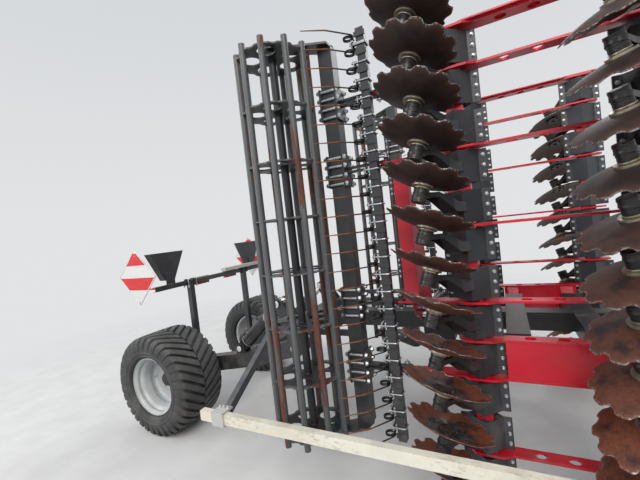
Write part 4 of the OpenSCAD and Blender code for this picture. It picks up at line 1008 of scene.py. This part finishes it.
bpy.context.scene.collection.objects.link(camera)
bpy.context.scene.camera = camera
print("lens", round(camera.data.lens, 2), "mm at", EYE)

# %% [markdown]
# The floor is pale and fades into the backdrop's colour with distance, for the camera's rays only,
# so that no line cuts behind the machine. Other rays see a darker floor, which keeps the shade under
# the machine.

# %% Floor and backdrop
HORIZON = (0.76, 0.77, 0.78)
FADE_FROM, FADE_TO, FLOOR_R = 5.0, 11.0, 30.0
finish = new_finish("floor")
seen = put("LightPath").node.outputs
look = sums("MAXIMUM", seen["Is Camera Ray"], seen["Is Glossy Ray"])
tone = mixed(between(noise(3.0, 5.0), 0.3, 0.7), (0.64, 0.635, 0.62), (0.70, 0.695, 0.68))
dress(mixed(look, (0.34, 0.335, 0.32), tone), 0.85)
far = put("VectorMath", {"operation": "LENGTH"}, out="Value", i0=here())
fade = times(between(far, FADE_FROM, FADE_TO), seen["Is Camera Ray"])
glow = put("Emission", Color=(*HORIZON, 1.0), Strength=1.0)
both = put("MixShader", i0=fade, i1=OPEN["shader"].outputs[0], i2=glow)
fill(finish.node_tree.nodes["Material Output"].inputs["Surface"], both)
floor = bpy.data.objects.new("floor", mesh_of("floor", turned([(FLOOR_R, -0.02), (FLOOR_R, 0.0)], 96), finish))
bpy.context.scene.collection.objects.link(floor)

world = bpy.data.worlds.new("sky")
bpy.context.scene.world = world
open_net(world, "Background")
seen = put("LightPath").node.outputs
look = sums("MAXIMUM", seen["Is Camera Ray"], seen["Is Glossy Ray"])
look = sums("MAXIMUM", look, seen["Is Transmission Ray"])
rise = put("SeparateXYZ", out=2, i0=put("TexCoord", out="Generated"))
sky = mixed(between(rise, 0.0, 0.7), HORIZON, (0.66, 0.68, 0.71))
fill(OPEN["shader"].inputs["Color"], mixed(look, (0.56, 0.58, 0.61), sky))
fill(OPEN["shader"].inputs["Strength"], 1.0)
print("floor and sky ready")

# %% Lamps
for name, at, size, power, warm in (("key", (3.6, -15.0, 12.6), 12.0, 2300.0, (1.0, 0.98, 0.95)),
                                    ("fill", (-13.4, -10.0, 7.6), 10.0, 900.0, (0.95, 0.98, 1.0)),
                                    ("rim", (4.6, 14.0, 13.6), 10.0, 1000.0, (1.0, 1.0, 1.0))):
    lamp = bpy.data.lights.new(name, "AREA")
    lamp.shape, lamp.size, lamp.energy, lamp.color = "DISK", size, power, warm
    stand_in = bpy.data.objects.new(name, lamp)
    aim = Vector((-0.6, 0.0, 1.4)) - Vector(at)
    stand_in.matrix_world = Matrix.Translation(at) @ aim.to_track_quat("-Z", "Y").to_matrix().to_4x4()
    bpy.context.scene.collection.objects.link(stand_in)
bpy.context.scene.view_settings.view_transform = "Standard"
